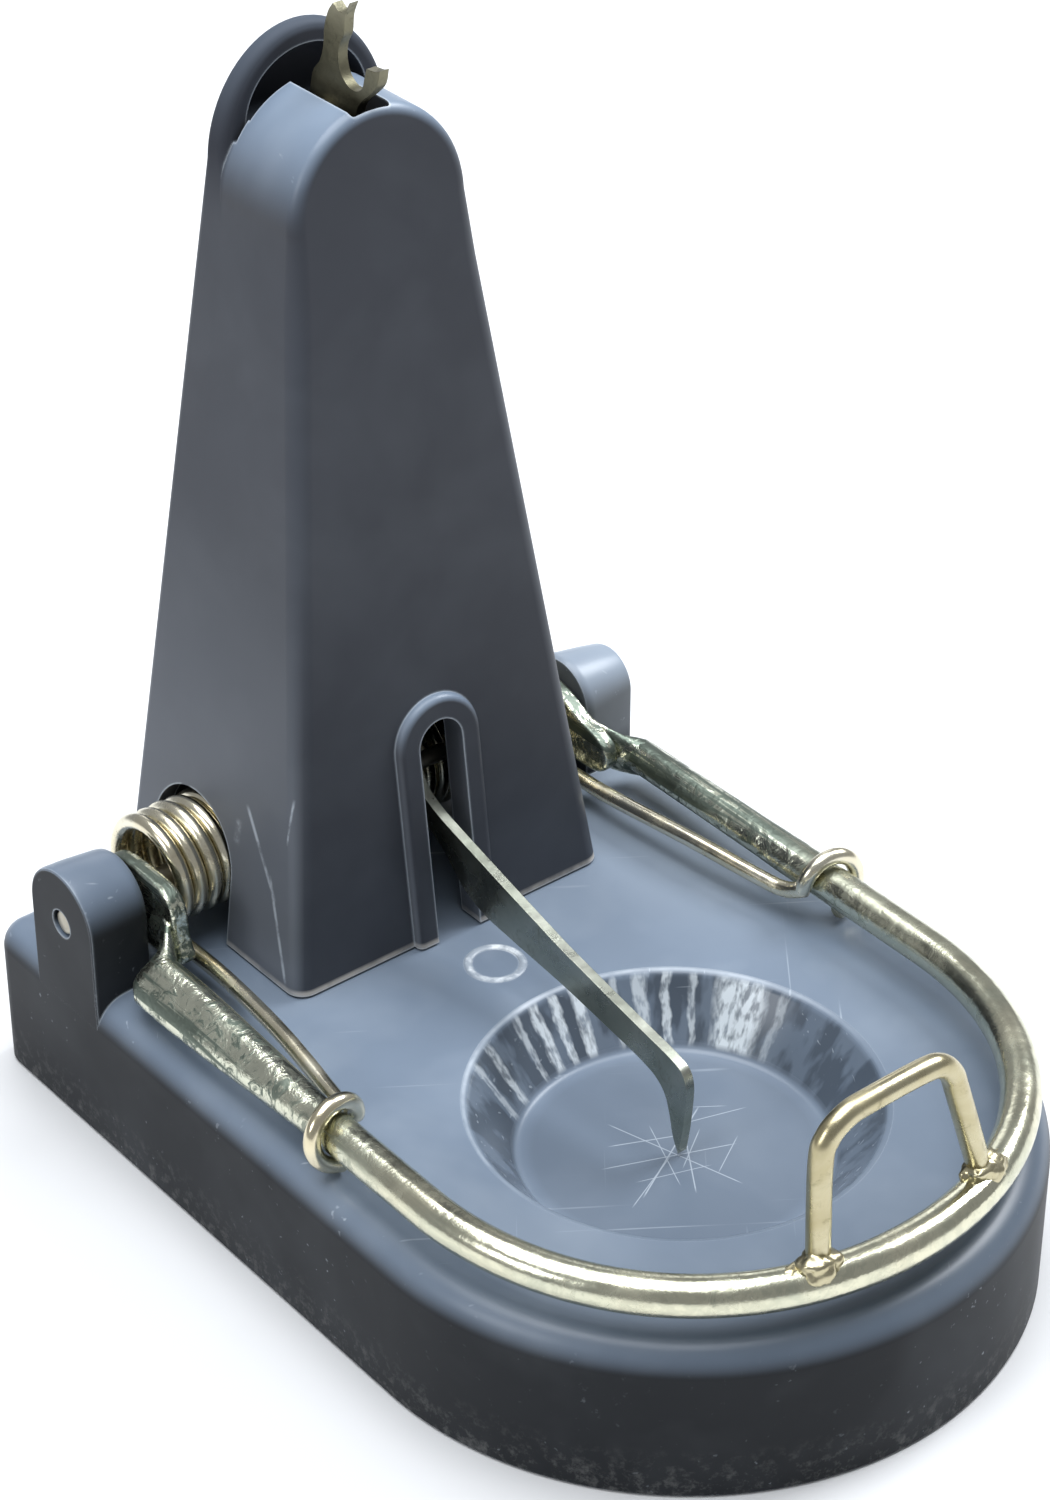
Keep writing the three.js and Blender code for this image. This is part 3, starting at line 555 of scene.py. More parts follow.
def cup_looks(n, color, upward):
    """Cuts in the cup's floor, which is made darker, painted glints and painted shade on its wall, and a
    painted highlight line along its rim. Returns the wall's mask.
    """
    offset, r = n.from_axis(0, CUP_Y * MM)
    on_floor = n.times(n.range(r, 0.0155, 0.0172, 1.0, 0.0), upward)
    on_wall = n.times(n.range(r, 0.0176, 0.0181, 0.0, 1.0), n.range(r, 0.0225, 0.0230, 1.0, 0.0), upward)
    n.tint(shade(color, 0.45), on_floor, 0.35)
    for a, b, width in CUP_CUTS:
        n.marks = n.most(n.marks, n.times(segment_mask(n, (0, 1), a, b, width), on_floor))
    offset_x, offset_y, _ = n.axes(offset)
    angle = n.math("ARCTAN2", offset_y, offset_x)
    ray = n.add("ShaderNodeCombineXYZ", {0: n.math("COSINE", angle), 1: n.math("SINE", angle),
                                         2: n.times(n.z, 25.0)}).outputs[0]
    wobble = n.times(n.math("SUBTRACT", n.noise(260.0, 3, 0.6), 0.5), 0.09)
    bent = n.math("ADD", angle, wobble)
    # painted glints: bright reflection streaks at set angles round the cup's wall
    painted_glint = 0.0
    for degrees, half_width, strength in CUP_GLINTS:
        off = n.apart(bent, math.radians(degrees))
        reach = math.radians(half_width)
        painted_glint = n.most(painted_glint, n.range(off, reach * 0.55, reach, strength, 0.0))
    fine = n.range(n.noise(30.0, 2, 0.5, ray), 0.36, 0.56, 0.25, 1.0)
    # painted shade: dark patches round the cup's wall, between the painted glints
    dark = n.range(n.noise(7.0, 3, 0.5, ray), 0.46, 0.56, 0.75, 0.1)
    n.tint(shade(color, 0.30), dark, on_wall)
    n.tint(GLINT, painted_glint, fine, on_wall, 0.85)
    # painted highlight: a pale line along the cup's rim, strongest at the rear
    rim = n.times(n.range(n.apart(r, 0.02315), 0.00008, 0.00032, 1.0, 0.0),
                  n.range(n.noise(180.0, 3, 0.6), 0.35, 0.6, 0.25, 1.0))
    n.tint(PALE, rim, upward, n.range(offset_y, -0.006, 0.010, 0.0, 0.45))
    return on_wall


def base_plastic():
    color = (0.158, 0.200, 0.260)
    # the third colour is the walls' painted shade, far darker than the top's
    n = Plastic("base_plastic_skin", color, (0.016, 0.0180, 0.021))
    upward = n.range(n.up, 0.02, 0.12, 0.0, 1.0)
    cup_wall = cup_looks(n, color, upward)
    n.tint(RUB_MARK, ring_mask(n, RING_X * MM, RING_Y * MM, 0.0031, 0.00062), upward, 0.9)
    n.tint(DUST, n.range(n.z, 0.0, 0.007, 1.0, 0.0), n.range(n.noise(700.0, 4, 0.7), 0.5, 0.7, 0.0, 0.35))
    specks = n.times(n.range(n.noise(900.0, 2, 0.6), 0.68, 0.76, 0.0, 0.30), n.wall)
    n.tint(PALE, specks, n.range(n.noise(60.0, 3, 0.5), 0.45, 0.6, 0.1, 1.0))
    # painted shade: the flat tops made darker towards the front
    n.tint(FRONT_PAINTED_SHADE, n.range(n.y, -0.058, 0.0, 0.60, 0.0), n.range(n.wall, 0.0, 1.0, 1.0, 0.0))
    # painted light: the right ear and the deck to the right of the tower made paler
    right_ear_painted_light = n.times(n.range(n.x, 0.022, 0.032, 0.0, 0.18), n.range(n.z, 0.0205, 0.024, 0.0, 1.0))
    right_deck_painted_light = n.times(n.range(n.x, 0.016, 0.030, 0.0, 0.16), n.range(n.y, -0.008, 0.014, 0.0, 1.0), n.flat)
    n.tint(PALE, n.most(right_ear_painted_light, right_deck_painted_light))
    n.finish(edge_wear(n), n.times(cup_wall, -0.12), 0.12, 0.0)
    return n.mat


def tower_plastic():
    # painted shade: the walls' colour, far darker than the top's
    shaded_wall_color = (0.037, 0.040, 0.049)
    n = Plastic("tower_plastic_skin", (0.185, 0.236, 0.308), shaded_wall_color)
    scuff = 0.0
    for a, b, width in TOWER_SCUFFS:
        scuff = n.most(scuff, segment_mask(n, (1, 2), a, b, width))
    scuff = n.times(scuff, n.range(n.x, -0.016, -0.017, 0.0, 1.0))
    n.tint(PALE, scuff, n.range(n.noise(380.0, 4, 0.7), 0.36, 0.56, 0.1, 1.0), 0.48)
    # painted highlight: a broken pale line along the tower's lower edge
    at_foot = n.range(n.z, 0.0204, 0.0208, 1.0, 0.0)
    n.tint(FOOT_EDGE_HIGHLIGHT, at_foot, n.range(n.noise(160.0, 4, 0.6), 0.35, 0.55, 0.35, 0.9))
    # painted light: the lower part of the tower's left side made paler, where shade falls from the ear and
    # coil
    n.tint(LEFT_PAINTED_LIGHT, n.range(n.z, 0.024, 0.072, 1.0, 0.0), n.range(n.rightward, -0.5, -0.9, 0.0, 0.22))
    # painted shade: the hood's upper part darkened with the walls' colour; there it is also rougher and
    # without sheen
    hood = n.times(n.range(n.z, 0.104, 0.112, 0.0, 0.80), n.range(n.y, 0.0452, 0.0458, 0.0, 1.0))
    n.tint(shaded_wall_color, hood)
    from_seam = n.apart(n.y, HOOD_Y * MM)
    at_seam = n.times(n.range(from_seam, 0.0006, 0.0010, 1.0, 0.0), n.range(n.z, 0.108, 0.110, 1.0, 0.0))
    wear = n.times(edge_wear(n), n.math("SUBTRACT", 1.0, at_seam))
    n.finish(wear, n.times(hood, 0.25), 0.24, hood)
    return n.mat


# ---- metal ----------------------------------------------------------------------------------

ARM_ZINC = (0.72, 0.76, 0.64)


def metal(name, color, tint, dark, rough, spots, spot_scale, bump, arms=False):
    """Plated steel: two tones in patches, dark spots and fine pits; arms adds the jaw's spangled arms, with
    painted dark reflection lines along them.
    """
    n = Nodes(name)
    base = n.mix(n.range(n.noise(90.0, 5, 0.6, distortion=0.8), 0.35, 0.68, 0.0, 1.0), color, tint)
    grime_and_reflection_lines = n.range(n.noise(spot_scale, 6, 0.72, distortion=1.0), 0.56, 0.74, 0.0, spots)
    if arms:
        on_arm = n.range(n.axes(n.coord)["Y"], -0.016, 0.006, 0.15, 1.0)
        spangle = n.range(n.noise(430.0, 6, 0.75, distortion=1.4), 0.50, 0.57, 0.0, 0.88)
        # painted reflection: dark lines along the arms, mixed into the dark colour with the grime spots
        painted_reflection_lines = n.range(n.noise(1.0, 3, 0.6, n.stretched((700, 26, 700))), 0.50, 0.57, 0.0, 0.88)
        grime_and_reflection_lines = n.most(n.most(n.times(grime_and_reflection_lines, 0.7), n.times(spangle, on_arm)), n.times(painted_reflection_lines, on_arm))
        base = n.mix(n.times(on_arm, 0.55), base, ARM_ZINC)
    base = n.mix(grime_and_reflection_lines, base, dark)
    roughness = n.range(n.noise(160.0, 5, 0.6), 0.3, 0.7, rough - 0.07, rough + 0.13)
    roughness = n.math("ADD", roughness, n.times(grime_and_reflection_lines, 0.30))
    normal = n.bump(n.noise(700.0, 4, 0.65), bump, 0.0002)
    normal = n.bump(n.noise(120.0, 3, 0.5), bump * 1.4, 0.0006, normal)
    if arms:
        normal = n.bump(n.times(n.noise(430.0, 4, 0.6, distortion=0.8), on_arm), 0.55, 0.0004, normal)
    n.set(color=base, rough=roughness, metal=1.0, normal=normal)
    return n.mat


BASE_MAT = base_plastic()
TOWER_MAT = tower_plastic()
ROD_MAT = metal("zinc_rod_skin", (0.74, 0.70, 0.52), (0.60, 0.60, 0.46), (0.07, 0.10, 0.085),
                0.17, 0.85, 300.0, 0.22, arms=True)
WIRE_MAT = metal("zinc_wire_skin", (0.78, 0.74, 0.60), (0.72, 0.64, 0.44), (0.16, 0.12, 0.07),
                 0.20, 0.45, 340.0, 0.12)
BAIL_MAT = metal("bail_skin", (0.60, 0.55, 0.38), (0.44, 0.38, 0.22), (0.16, 0.14, 0.08),
                 0.26, 0.55, 380.0, 0.12)
STEEL_MAT = metal("plate_skin", (0.25, 0.235, 0.165), (0.16, 0.15, 0.10), (0.06, 0.06, 0.04),
                  0.42, 0.8, 520.0, 0.35)
TRIGGER_MAT = metal("trigger_skin", (0.42, 0.43, 0.37), (0.29, 0.31, 0.25), (0.10, 0.10, 0.07),
                    0.26, 0.5, 420.0, 0.2)
PIN_MAT = metal("pin_skin", (0.50, 0.47, 0.40), (0.42, 0.39, 0.32), (0.12, 0.11, 0.10),
                0.34, 0.5, 600.0, 0.2)

# ---- base -----------------------------------------------------------------------------------


def base_outline(d):
    """Plan of the base set in by d, always with the same number of points."""
    half = HALF_WIDTH - d
    corner = max(BASE_CORNER - d, 0.35)
    rear = REAR_Y - d
    cy = HALF_WIDTH - REAR_Y
    side = rear - corner - cy
    pts = arc(0, cy, half, half, 180, 360, 96)
    pts += [(half, cy + side * k / 8) for k in range(1, 8)]
    pts += arc(half - corner, rear - corner, corner, corner, 0, 90, 8)
    pts += arc(-half + corner, rear - corner, corner, corner, 90, 180, 8)
    pts += [(-half, rear - corner - side * k / 8) for k in range(1, 8)]
    return pts


def round_levels(top, radius, steps):
    """(inset, height) pairs up a rounded top edge."""
    return [(radius * (1 - math.cos(a)), top - radius * (1 - math.sin(a))) for a in quarter(steps)]


def stacked(name, outline, levels):
    """A block whose plan at each height is outline(inset)."""
    return loft(name, [[(x, y, z) for x, y in outline(d)] for d, z in levels])


def rectangle(x0, x1, y0, y1):
    return [(x0, y0), (x1, y0), (x1, y1), (x0, y1)]


def under_cup():
    low = CUP_FLOOR - WALL
    profile = [(0, low), (17.6, low), (18.6, low + 0.5), (25.2, DECK - 1.2), (0, DECK - 1.2)]
    return lathe("under_cup", profile, (0, CUP_Y, 0))


def tower_seat():
    """The low step that the tower stands on."""
    plan = smooth_outline(rectangle(-23.2, 23.2, 22.3, REAR_Y - 0.1), 0.6)
    levels = [(0.0, DECK - WALL - 0.3)] + round_levels(DECK - 0.02, 1.1, 5)
    return stacked("seat", lambda d: inset(plan, d), levels)


def ribs():
    made = []
    for y in (14, 40):
        made.append(prism("rib", rectangle(-38.5, 38.5, y, y + 1.6), along_z, 4, DECK - 1))
    for x in (-28.6, 27):
        made.append(prism("rib", rectangle(x, x + 1.6, 14.3, REAR_Y - 1.2), along_z, 4, DECK - 1.1))
    return made


def hinge_ears():
    """The rounded ears that carry the axle: each profile is (distance from the middle, radius)."""
    left = ((40, 5.9), (39.88, 6.1), (39.5, 6.2), (37, 6.1),
            (33.2, 5.75), (32.5, 5.6), (32.1, 5.25), (32.0, 4.7))
    right = ((40, 3.7), (39.85, 4.1), (39.4, 4.35), (37, 4.8),
             (33.2, 5.4), (32.5, 5.35), (32.1, 5.1), (32.0, 4.6))
    foot = DECK - 3.5
    made = []
    for side, profile in ((-1, left), (1, right)):
        rings = []
        for x, r in profile:
            shape = [(AXLE_Y - r, foot), (AXLE_Y + r, foot)] + arc(AXLE_Y, AXLE_Z + 0.6, r, r, 0, 180, 32)
            rings.append([(side * x, u, v) for u, v in shape])
        made.append(loft("ear", rings))
    return made


def cup_cut():
    """The bait cup: a flat floor, a leaning wall and a soft rim."""
    slope = (CUP_TOP_R - CUP_FLOOR_R) / CUP_DEPTH
    wall_top = DECK - 0.75
    rim_r = CUP_FLOOR_R + slope * (wall_top - CUP_FLOOR)
    corner = [(16.7, 0), (17.2, 0.08), (17.55, 0.3), (17.8, 0.62)]
    rim = [(0, -0.75), (0.28, -0.42), (0.62, -0.18), (1.05, -0.04), (1.5, 0.3)]
    profile = [(0, CUP_FLOOR)] + [(r, CUP_FLOOR + h) for r, h in corner]
    profile += [(rim_r + r, DECK + h) for r, h in rim] + [(0, DECK + 0.3)]
    return lathe("cup", profile, (0, CUP_Y, 0), n=128)


def deck_ring():
    """The small raised ring in front of the tower."""
    section = [(2.75, -0.3), (2.75, 0.02), (2.95, 0.13), (3.2, 0.16), (3.45, 0.12), (3.6, 0.02), (3.6, -0.3)]
    n, m = 64, len(section)
    verts, faces = [], []
    for i in range(n):
        a = 2 * math.pi * i / n
        verts += [(RING_X + r * math.cos(a), RING_Y + r * math.sin(a), DECK + h) for r, h in section]
        here, there = i * m, ((i + 1) % n) * m
        for j in range(m):
            k = (j + 1) % m
            faces.append((here + j, there + j, there + k, here + k))
    return raw("ring", verts, faces)


def make_base():
    body = stacked("base_shell", base_outline, [(0.5, 0.0), (0.15, 0.15), (0.0, 0.5)]
                   + round_levels(DECK, DECK_ROUND, 10))
    inner = [(0, -1.0)] + round_levels(DECK - WALL, 1.2, 4)
    combine(body, [stacked("hollow", base_outline, [(WALL + d, z) for d, z in inner])])
    bosses = [cylinder("boss", "Z", (x, y, 0), 3.6, DECK - WALL - 0.2, DECK - 0.5, 32) for x, y in SCREWS]
    combine(body, [under_cup(), tower_seat()] + ribs() + hinge_ears() + bosses, "UNION")
    bore = cylinder("bore", "X", (0, AXLE_Y, AXLE_Z), 1.72, -45, 45, 48)
    holes = [cylinder("screw_hole", "Z", (x, y, 0), 1.55, DECK - 8, DECK + 2, 32) for x, y in SCREWS]
    combine(body, [cup_cut(), bore] + holes)
    return combine(body, [deck_ring()], "UNION")


# ---- tower ----------------------------------------------------------------------------------


def ramp(value, low, high):
    """0 below low, 1 above high, straight between."""
    return max(0.0, min(1.0, (value - low) / (high - low)))


def tower_half(z):
    return 44.3 / 2 - 0.124 * (z - DECK)


def tower_front(z):
    return 22 + 0.121 * (z - DECK)


def tower_rear(z):
    return 56.4 - 0.0775 * (z - DECK)


def on_front(u, v, w):
    """w is the depth behind the tower's leaning front face."""
    return (u, tower_front(v) + w, v)


def tower_outline(spring, rise):
    """Front view of the tower: straight leaning sides under an arch that starts at spring."""
    foot, sides = 14.0, 24
    levels = [foot + (spring - foot) * k / sides for k in range(sides)]
    right = [(tower_half(z), z) for z in levels]
    left = [(-x, z) for x, z in right[::-1]]
    return right + arc(0, spring, tower_half(spring), rise, 0, 180, 40) + left


def tower_block(name, outline, front, rear, front_round, rear_round):
    """The outline carried from front(z) to rear(z); front_round(z) and rear_round are the rims' radii."""
    edge = np.array([front_round(z) for _, z in outline])
    rings = []
    for a in quarter(7):
        pts = inset(outline, edge * (1 - math.sin(a)))
        rings.append([(x, front(z) + e * (1 - math.cos(a)), z) for (x, z), e in zip(pts, edge)])
    for a in quarter(7):
        pts = inset(outline, rear_round * (1 - math.cos(a)))
        rings.append([(x, rear(z) - rear_round * (1 - math.sin(a)), z) for x, z in pts])
    return loft(name, rings)


def slot_outline(grow, foot):
    half = SLOT_HALF + grow
    return [(-half, foot), (half, foot)] + arc(0, SLOT_TOP, half, half, 0, 180, 20)


def tower_shell():
    """The outside: the front block and the hood, a groove between them and a rim round the slot."""
    body = tower_block("tower_shell", tower_outline(*CROWN), tower_front, lambda z: HOOD_Y + 1.0,
                       lambda z: 2.2 - 0.9 * ramp(z, 98, 112), 1.02)
    hood = tower_block("hood", tower_outline(*HOOD), lambda z: HOOD_Y, tower_rear,
                       lambda z: 1.3 * ramp(z, 105.5, 112.0), 1.35)
    combine(body, [hood], "UNION")
    combine(body, [prism("groove", rectangle(-20, 20, HOOD_Y - 0.45, HOOD_Y), along_z, 112.6, 130)])
    combine(body, [prism("rim", slot_outline(2.7, 14.0), on_front, -1.1, 2.0, 0.8, 5)], "UNION")
    return combine(body, [prism("foot", rectangle(-60, 60, 0, 90), along_z, 0, TOWER_Z)])


def tower_hollow():
    low, high, levels = 10.0, 105.0, 6
    rings = []
    for k in range(levels + 1):
        z = low + (high - low) * k / levels
        half = tower_half(z) - WALL
        plan = smooth_outline(rectangle(-half, half, tower_front(z) + WALL, tower_rear(z) - WALL), 1.5)
        rings.append([(x, y, z) for x, y in plan])
    return loft("hollow", rings)


def hood_bowl():
    """The shallow bowl in the hood's front, smaller towards its floor."""
    shape = [(-7.9, 112.9), (7.9, 112.9)] + arc(0, 113.6, 7.9, 7.5, 0, 180, 36)
    rings = []
    for a in quarter(7):
        pts = inset(shape, 2.2 * (1 - math.cos(a)))
        rings.append([(x, 44.9 + 3.4 * math.sin(a), z) for x, z in pts])
    return loft("bowl", rings)


def make_tower():
    room = [(-8.2, 100), (8.2, 100), (8.2, 108), (5.6, 113.2), (-5.6, 113.2), (-8.2, 108)]
    top_room = prism("top_room", room, along_y, tower_front(113) + WALL + 0.2, 42.4)
    slot = prism("slot", slot_outline(0, 8.0), on_front, -4, 4.5)
    middle, half = COIL_Y + 0.4, 7.6
    opening = [(middle - half, 8), (middle + half, 8)] + arc(middle, COIL_Z, half, half + 0.1, 0, 180, 28)
    coil_openings = prism("coil_openings", opening, along_x, -30, 30)
    crown_slot = prism("crown_slot", smooth_outline(rectangle(-2.5, 2.5, 34.2, 45.4), 0.5), along_z, 100, 125)
    slot_rear = prism("slot_rear", rectangle(-2.5, 2.5, 44, 46.6), along_z, 100, 115.5)
    cuts = [tower_hollow(), top_room, slot, coil_openings, crown_slot, slot_rear, hood_bowl()]
    return combine(tower_shell(), cuts)


# ---- jaw ------------------------------------------------------------------------------------


def eased(value):
    """0 below 0, 1 above 1, smooth between."""
    value = max(0.0, min(1.0, value))
    return value * value * (3 - 2 * value)


def bow_path():
    """The rod's centre line from the left arm's rear round the front to the right arm's rear."""
    pts = [Vector((-BOW_R, y, ROD_Z)) for y in np.linspace(ARM_REAR_Y, BOW_Y, 34)]
    for k in range(1, 72):
        a = math.pi + math.pi * k / 72
        r = BOW_R * (1 + 0.012 * math.sin(2 * a) ** 2)
        pts.append(Vector((r * math.cos(a), BOW_Y + r * math.sin(a), ROD_Z)))
    return pts + [Vector((BOW_R, y, ROD_Z)) for y in np.linspace(BOW_Y, ARM_REAR_Y, 34)]


def jaw_path():
    """The bow with a neck at each rear end that turns in and up to the eyelet plates."""
    bow = bow_path()
    neck = ((-31.0, 36.5, 27.2), (-31.2, 34.2, 26.6), (-32.6, 32.2, 25.4), (-34.4, 31.0, 24.6))
    left = [Vector(p) for p in neck]
    right = [Vector((-p.x, p.y, p.z)) for p in left[::-1]]
    return catmull(left + bow[:1], 4)[:-1] + bow + catmull(bow[-1:] + right, 4)[1:]


def rod_ring(p, t, sides=28):
    """The section at p: round in front, flattened and tilted along the arms, upright at the necks."""
    outward = t.cross(Vector((0, 0, 1))).normalized()
    up = outward.cross(t).normalized()
    arm = eased((p.y + 4) / 31)
    neck = eased((BOW_R - 0.1 - abs(p.x)) / 3.6) if p.y > ARM_REAR_Y - 0.5 else 0.0
    wide = (ROD_R + 1.0 * arm) * (1 - neck) + 2.5 * neck
    thin = (ROD_R - 0.15 * arm) * (1 - neck) + 0.95 * neck
    tilt = math.radians(45) * min(1.0, arm * 3) * (1 - neck) + math.radians(90) * neck
    power = 1 - 0.28 * arm * (1 - neck)
    cos_tilt, sin_tilt = math.cos(-tilt), math.sin(-tilt)
    ring = []
    for k in range(sides):
        cos_a, sin_a = math.cos(2 * math.pi * k / sides), math.sin(2 * math.pi * k / sides)
        u = wide * math.copysign(abs(cos_a) ** power, cos_a)
        v = thin * math.copysign(abs(sin_a) ** power, sin_a)
        ring.append(p + outward * (u * cos_tilt - v * sin_tilt) + up * (u * sin_tilt + v * cos_tilt))
    return ring


def eyelet_plates():
    """The upright plates round the axle: outlines in y and z, the right one lower than the left."""
    under = [(31.4, 24.0), (33.0, 23.5), (35.5, 23.4), (38.4, 23.3)]
    left_top = [(42, 32.75), (39.0, 32.8), (36.0, 32.7), (33.9, 32.3), (32.7, 31.3), (32.2, 29.6),
                (31.9, 27.5), (31.5, 26.0), (31.0, 25.0)]
    right_top = [(42, 31.8), (39.4, 31.3), (37.0, 30.2), (34.8, 29.3), (32.6, 28.7), (31.0, 27.9),
                 (30.4, 26.9), (30.2, 25.9), (30.4, 24.9)]
    plates = []
    for low, high, top, r in ((-31.5, -29.4, left_top, 4.9), (29.4, 31.5, right_top, 4.1)):
        outline = arc(AXLE_Y, AXLE_Z, r, r, -105, 85, 30) + curve(top + under, 3)
        plates.append(prism("plate", outline, along_x, low, high, 0.45, 3))
    return plates


def make_jaw():
    path = jaw_path()
    last = len(path) - 1
    rings = []
    for i, p in enumerate(path):
        t = (path[min(i + 1, last)] - path[max(i - 1, 0)]).normalized()
        rings.append(rod_ring(p, t))
    rod = loft("jaw_rod", rings)
    combine(rod, eyelet_plates(), "UNION")
    return combine(rod, [cylinder("bore", "X", (0, AXLE_Y, AXLE_Z), 1.75, -45, 45, 40)])


def make_bail():
    """The bent wire on the bow: uprights that lean in, and a level top, all in one plane but the feet."""
    foot = ROD_Z + 1.9
    plane_y, foot_y = -51.2, -51.4
    bends = [(-11.4, 38.6), (-10.6, 41.8), (-8.2, 43.4), (-5.0, 43.7),
             (1.8, 43.7), (4.4, 43.2), (6.2, 41.4), (7.3, 38.6)]
    path = [(-11.2, foot_y, foot)] + [(x, plane_y, z) for x, z in bends] + [(11.4, foot_y, foot)]
    return tube("bail_wire", catmull(path, 9), 1.32, 20, (0, 1, 0))


def lump(name, centre, radii, seed):
    """An uneven blob of weld metal."""
    rough = 0.22
    bm = bmesh.new()
    bmesh.ops.create_icosphere(bm, subdivisions=4, radius=1.0)
    for v in bm.verts:
        d = v.co.normalized()
        coarse = noise.noise(d * 1.7 + Vector((seed, 0, 0)))
        fine = noise.noise(d * 4.1 + Vector((0, seed, 0)))
        k = 1 + rough * coarse + rough * 0.5 * fine
        v.co = Vector((d.x * radii[0] * k, d.y * radii[1] * k, d.z * radii[2] * k)) + Vector(centre)
    mesh = bpy.data.meshes.new(name)
    bm.to_mesh(mesh)
    bm.free()
    return linked(name, mesh)


# name, centre, radii and seed of the blobs that hold the bail
WELDS = (("bail_weld_left", (-11.5, -52.0, 26.1), (2.7, 2.0, 1.9), 1.3),
         ("bail_weld_left_bead", (-13.8, -51.1, 25.5), (2.4, 1.4, 1.1), 4.2),
         ("bail_weld_right", (11.7, -51.7, 26.2), (2.7, 1.9, 1.8), 7.7),
         ("bail_weld_right_bead", (13.9, -50.4, 25.5), (2.4, 1.4, 1.1), 9.1))

# ---- springs --------------------------------------------------------------------------------


def ring_turn(r, steps=44):
    """The open ring round the jaw's rod, from its free end to where the leg starts."""
    turns, lead = 0.74, 2.2
    ring = []
    for k in range(steps, -1, -1):
        t = k / steps
        a = 2 * math.pi * turns * t
        ring.append(Vector((-BOW_R + r * math.cos(a), -2.0 - lead * t, ROD_Z + 0.1 + r * math.sin(a))))
    return ring


def left_wire():
    """The whole wire of the left torsion spring: ring, leg, coil and inner end."""
    r = ROD_R + WIRE_R + 0.22
    pts = ring_turn(r)
    foot = COIL_Z - COIL_R
    leg = [pts[-1], (-BOW_R + r + 0.35, 0.6, ROD_Z - 1.1), (-31.0, 4.0, 23.1), (-29.4, 15, foot + 0.75),
           (-28.1, 28, foot + 0.35), (-ARM_X, 38, foot + 0.03), (-ARM_X, COIL_Y - 0.4, foot)]
    pts += catmull(leg, 7)[1:]
    steps = int(COIL_TURNS * 34)
    for k in range(1, steps + 1):
        turn = COIL_TURNS * k / steps
        a = 2 * math.pi * turn - math.pi / 2
        r = COIL_R + 0.05 * math.sin(3.1 * turn)
        pts.append(Vector((-ARM_X + COIL_PITCH * turn, COIL_Y + r * math.cos(a), COIL_Z + r * math.sin(a))))
    last = pts[-1]
    d = (pts[-1] - pts[-2]).normalized()
    return pts + [last + Vector((0.02 * k, d.y * k * 1.1, d.z * k * 1.1)) for k in range(1, 8)]


def make_spring(word, side):
    return tube(f"{word}_spring", [(-side * p.x, p.y, p.z) for p in left_wire()], WIRE_R, 16, (0, 0, 1))


# ---- catch ----------------------------------------------------------------------------------


def plate_piece(name, outline, hole, hole_r, edge):
    """A pressed plate in the middle plane, with a hole for its pin and softened edges."""
    thickness = 1.2
    obj = prism(name, outline, along_x, -thickness / 2, thickness / 2)
    combine(obj, [cylinder("bore", "X", (0, *hole), hole_r, -4, 4, 32)])
    mod = obj.modifiers.new("edges", "BEVEL")
    mod.width = edge * MM
    mod.segments = 2
    mod.limit_method = "ANGLE"
    mod.angle_limit = math.radians(50)
    mod.harden_normals = False
    return obj


def make_fork():
    """Outline in y and z: rear edge and long prong, notch, short prong and belly, then the foot."""
    back = [(44.6, 111.6), (44.5, 114.0), (43.6, 118.6), (42.2, 120.5), (41.5, 122.4),
            (41.2, 124.6), (40.5, 126.5), (39.6, 127.7)]
    long_tip = [(38.7, 127.1), (38.0, 127.1), (37.3, 127.7)]
    notch = [(36.7, 128.6), (37.5, 126.9), (37.8, 124.9), (38.6, 123.5), (38.9, 121.9), (38.6, 120.5),
             (37.9, 119.6), (36.9, 119.15), (35.8, 119.2), (34.9, 119.9), (34.5, 121.1), (34.1, 122.3)]
    short_tip = [(33.4, 122.35), (32.6, 122.45)]
    belly = [(31.8, 122.8), (32.3, 121.0), (33.6, 119.6), (35.1, 118.3),
             (36.0, 116.8), (36.4, 113.5), (36.5, 110.0), (37.2, 107.3)]
    foot = [(40.6, 107.3), (42.2, 107.9), (43.5, 109.0), (44.3, 110.3)]
    outline = curve(back, 4) + long_tip + curve(notch, 4) + short_tip + curve(belly, 4) + foot
    return plate_piece("latch_plate", outline, LATCH, 1.2, 0.13)


def make_trigger():
    """Outline in y and z: the foot in the cup, the lower edge, the upright and the upper edge."""
    top = 105.9
    front = tower_front(top) + WALL + 0.6
    lower = [(-18.2, 12.75), (-17.2, 14.6), (-16.6, 17.4), (-15.8, 19.8), (-14.1, 21.3),
             (-11.0, 22.1), (-5, 23.1), (2.2, 24.2), (9, 24.9), (15.8, 25.7),
             (19.4, 27.2), (23.6, 31.2), (28, 33.4), (32.6, 34.3), (35.0, 36.5)]
    upright = [(35.2, 40), (front + 2.9, top), (front, top), (29.5, 43)]
    upper = [(28.6, 39.2), (27.2, 36.4), (24.0, 34.9), (17.3, 33.0), (9.7, 30.9), (2.2, 28.9),
             (-4.9, 27.4), (-12.3, 25.9), (-16.1, 25.2), (-18.4, 24.5), (-19.2, 22.8),
             (-19.2, 20.7), (-18.8, 16.4)]
    corners = lower + upright + upper
    rounds = [0.3] + [1.6] * (len(corners) - 2) + [1.2]
    return plate_piece("trigger_plate", smooth_outline(corners, rounds), TRIGGER, 1.3, 0.18)


def return_spring():
    """A hairpin of thin wire over the latch's pin: two legs of 4 mm and half a turn."""
    r, drop, share, steps = 1.6, 4, 0.3, 140
    y, z = LATCH
    pts = []
    for k in range(steps + 1):
        t = k / steps
        bend = ramp(t, share, 1 - share)
        down = (max(share - t, 0) + max(t - (1 - share), 0)) / share
        a = math.pi * bend
        pts.append((-2.1 + 0.8 * bend, y + r * math.cos(a), z + r * math.sin(a) - drop * down))
    return tube("latch_return_spring", pts, 0.22, 10, (1, 0, 0))


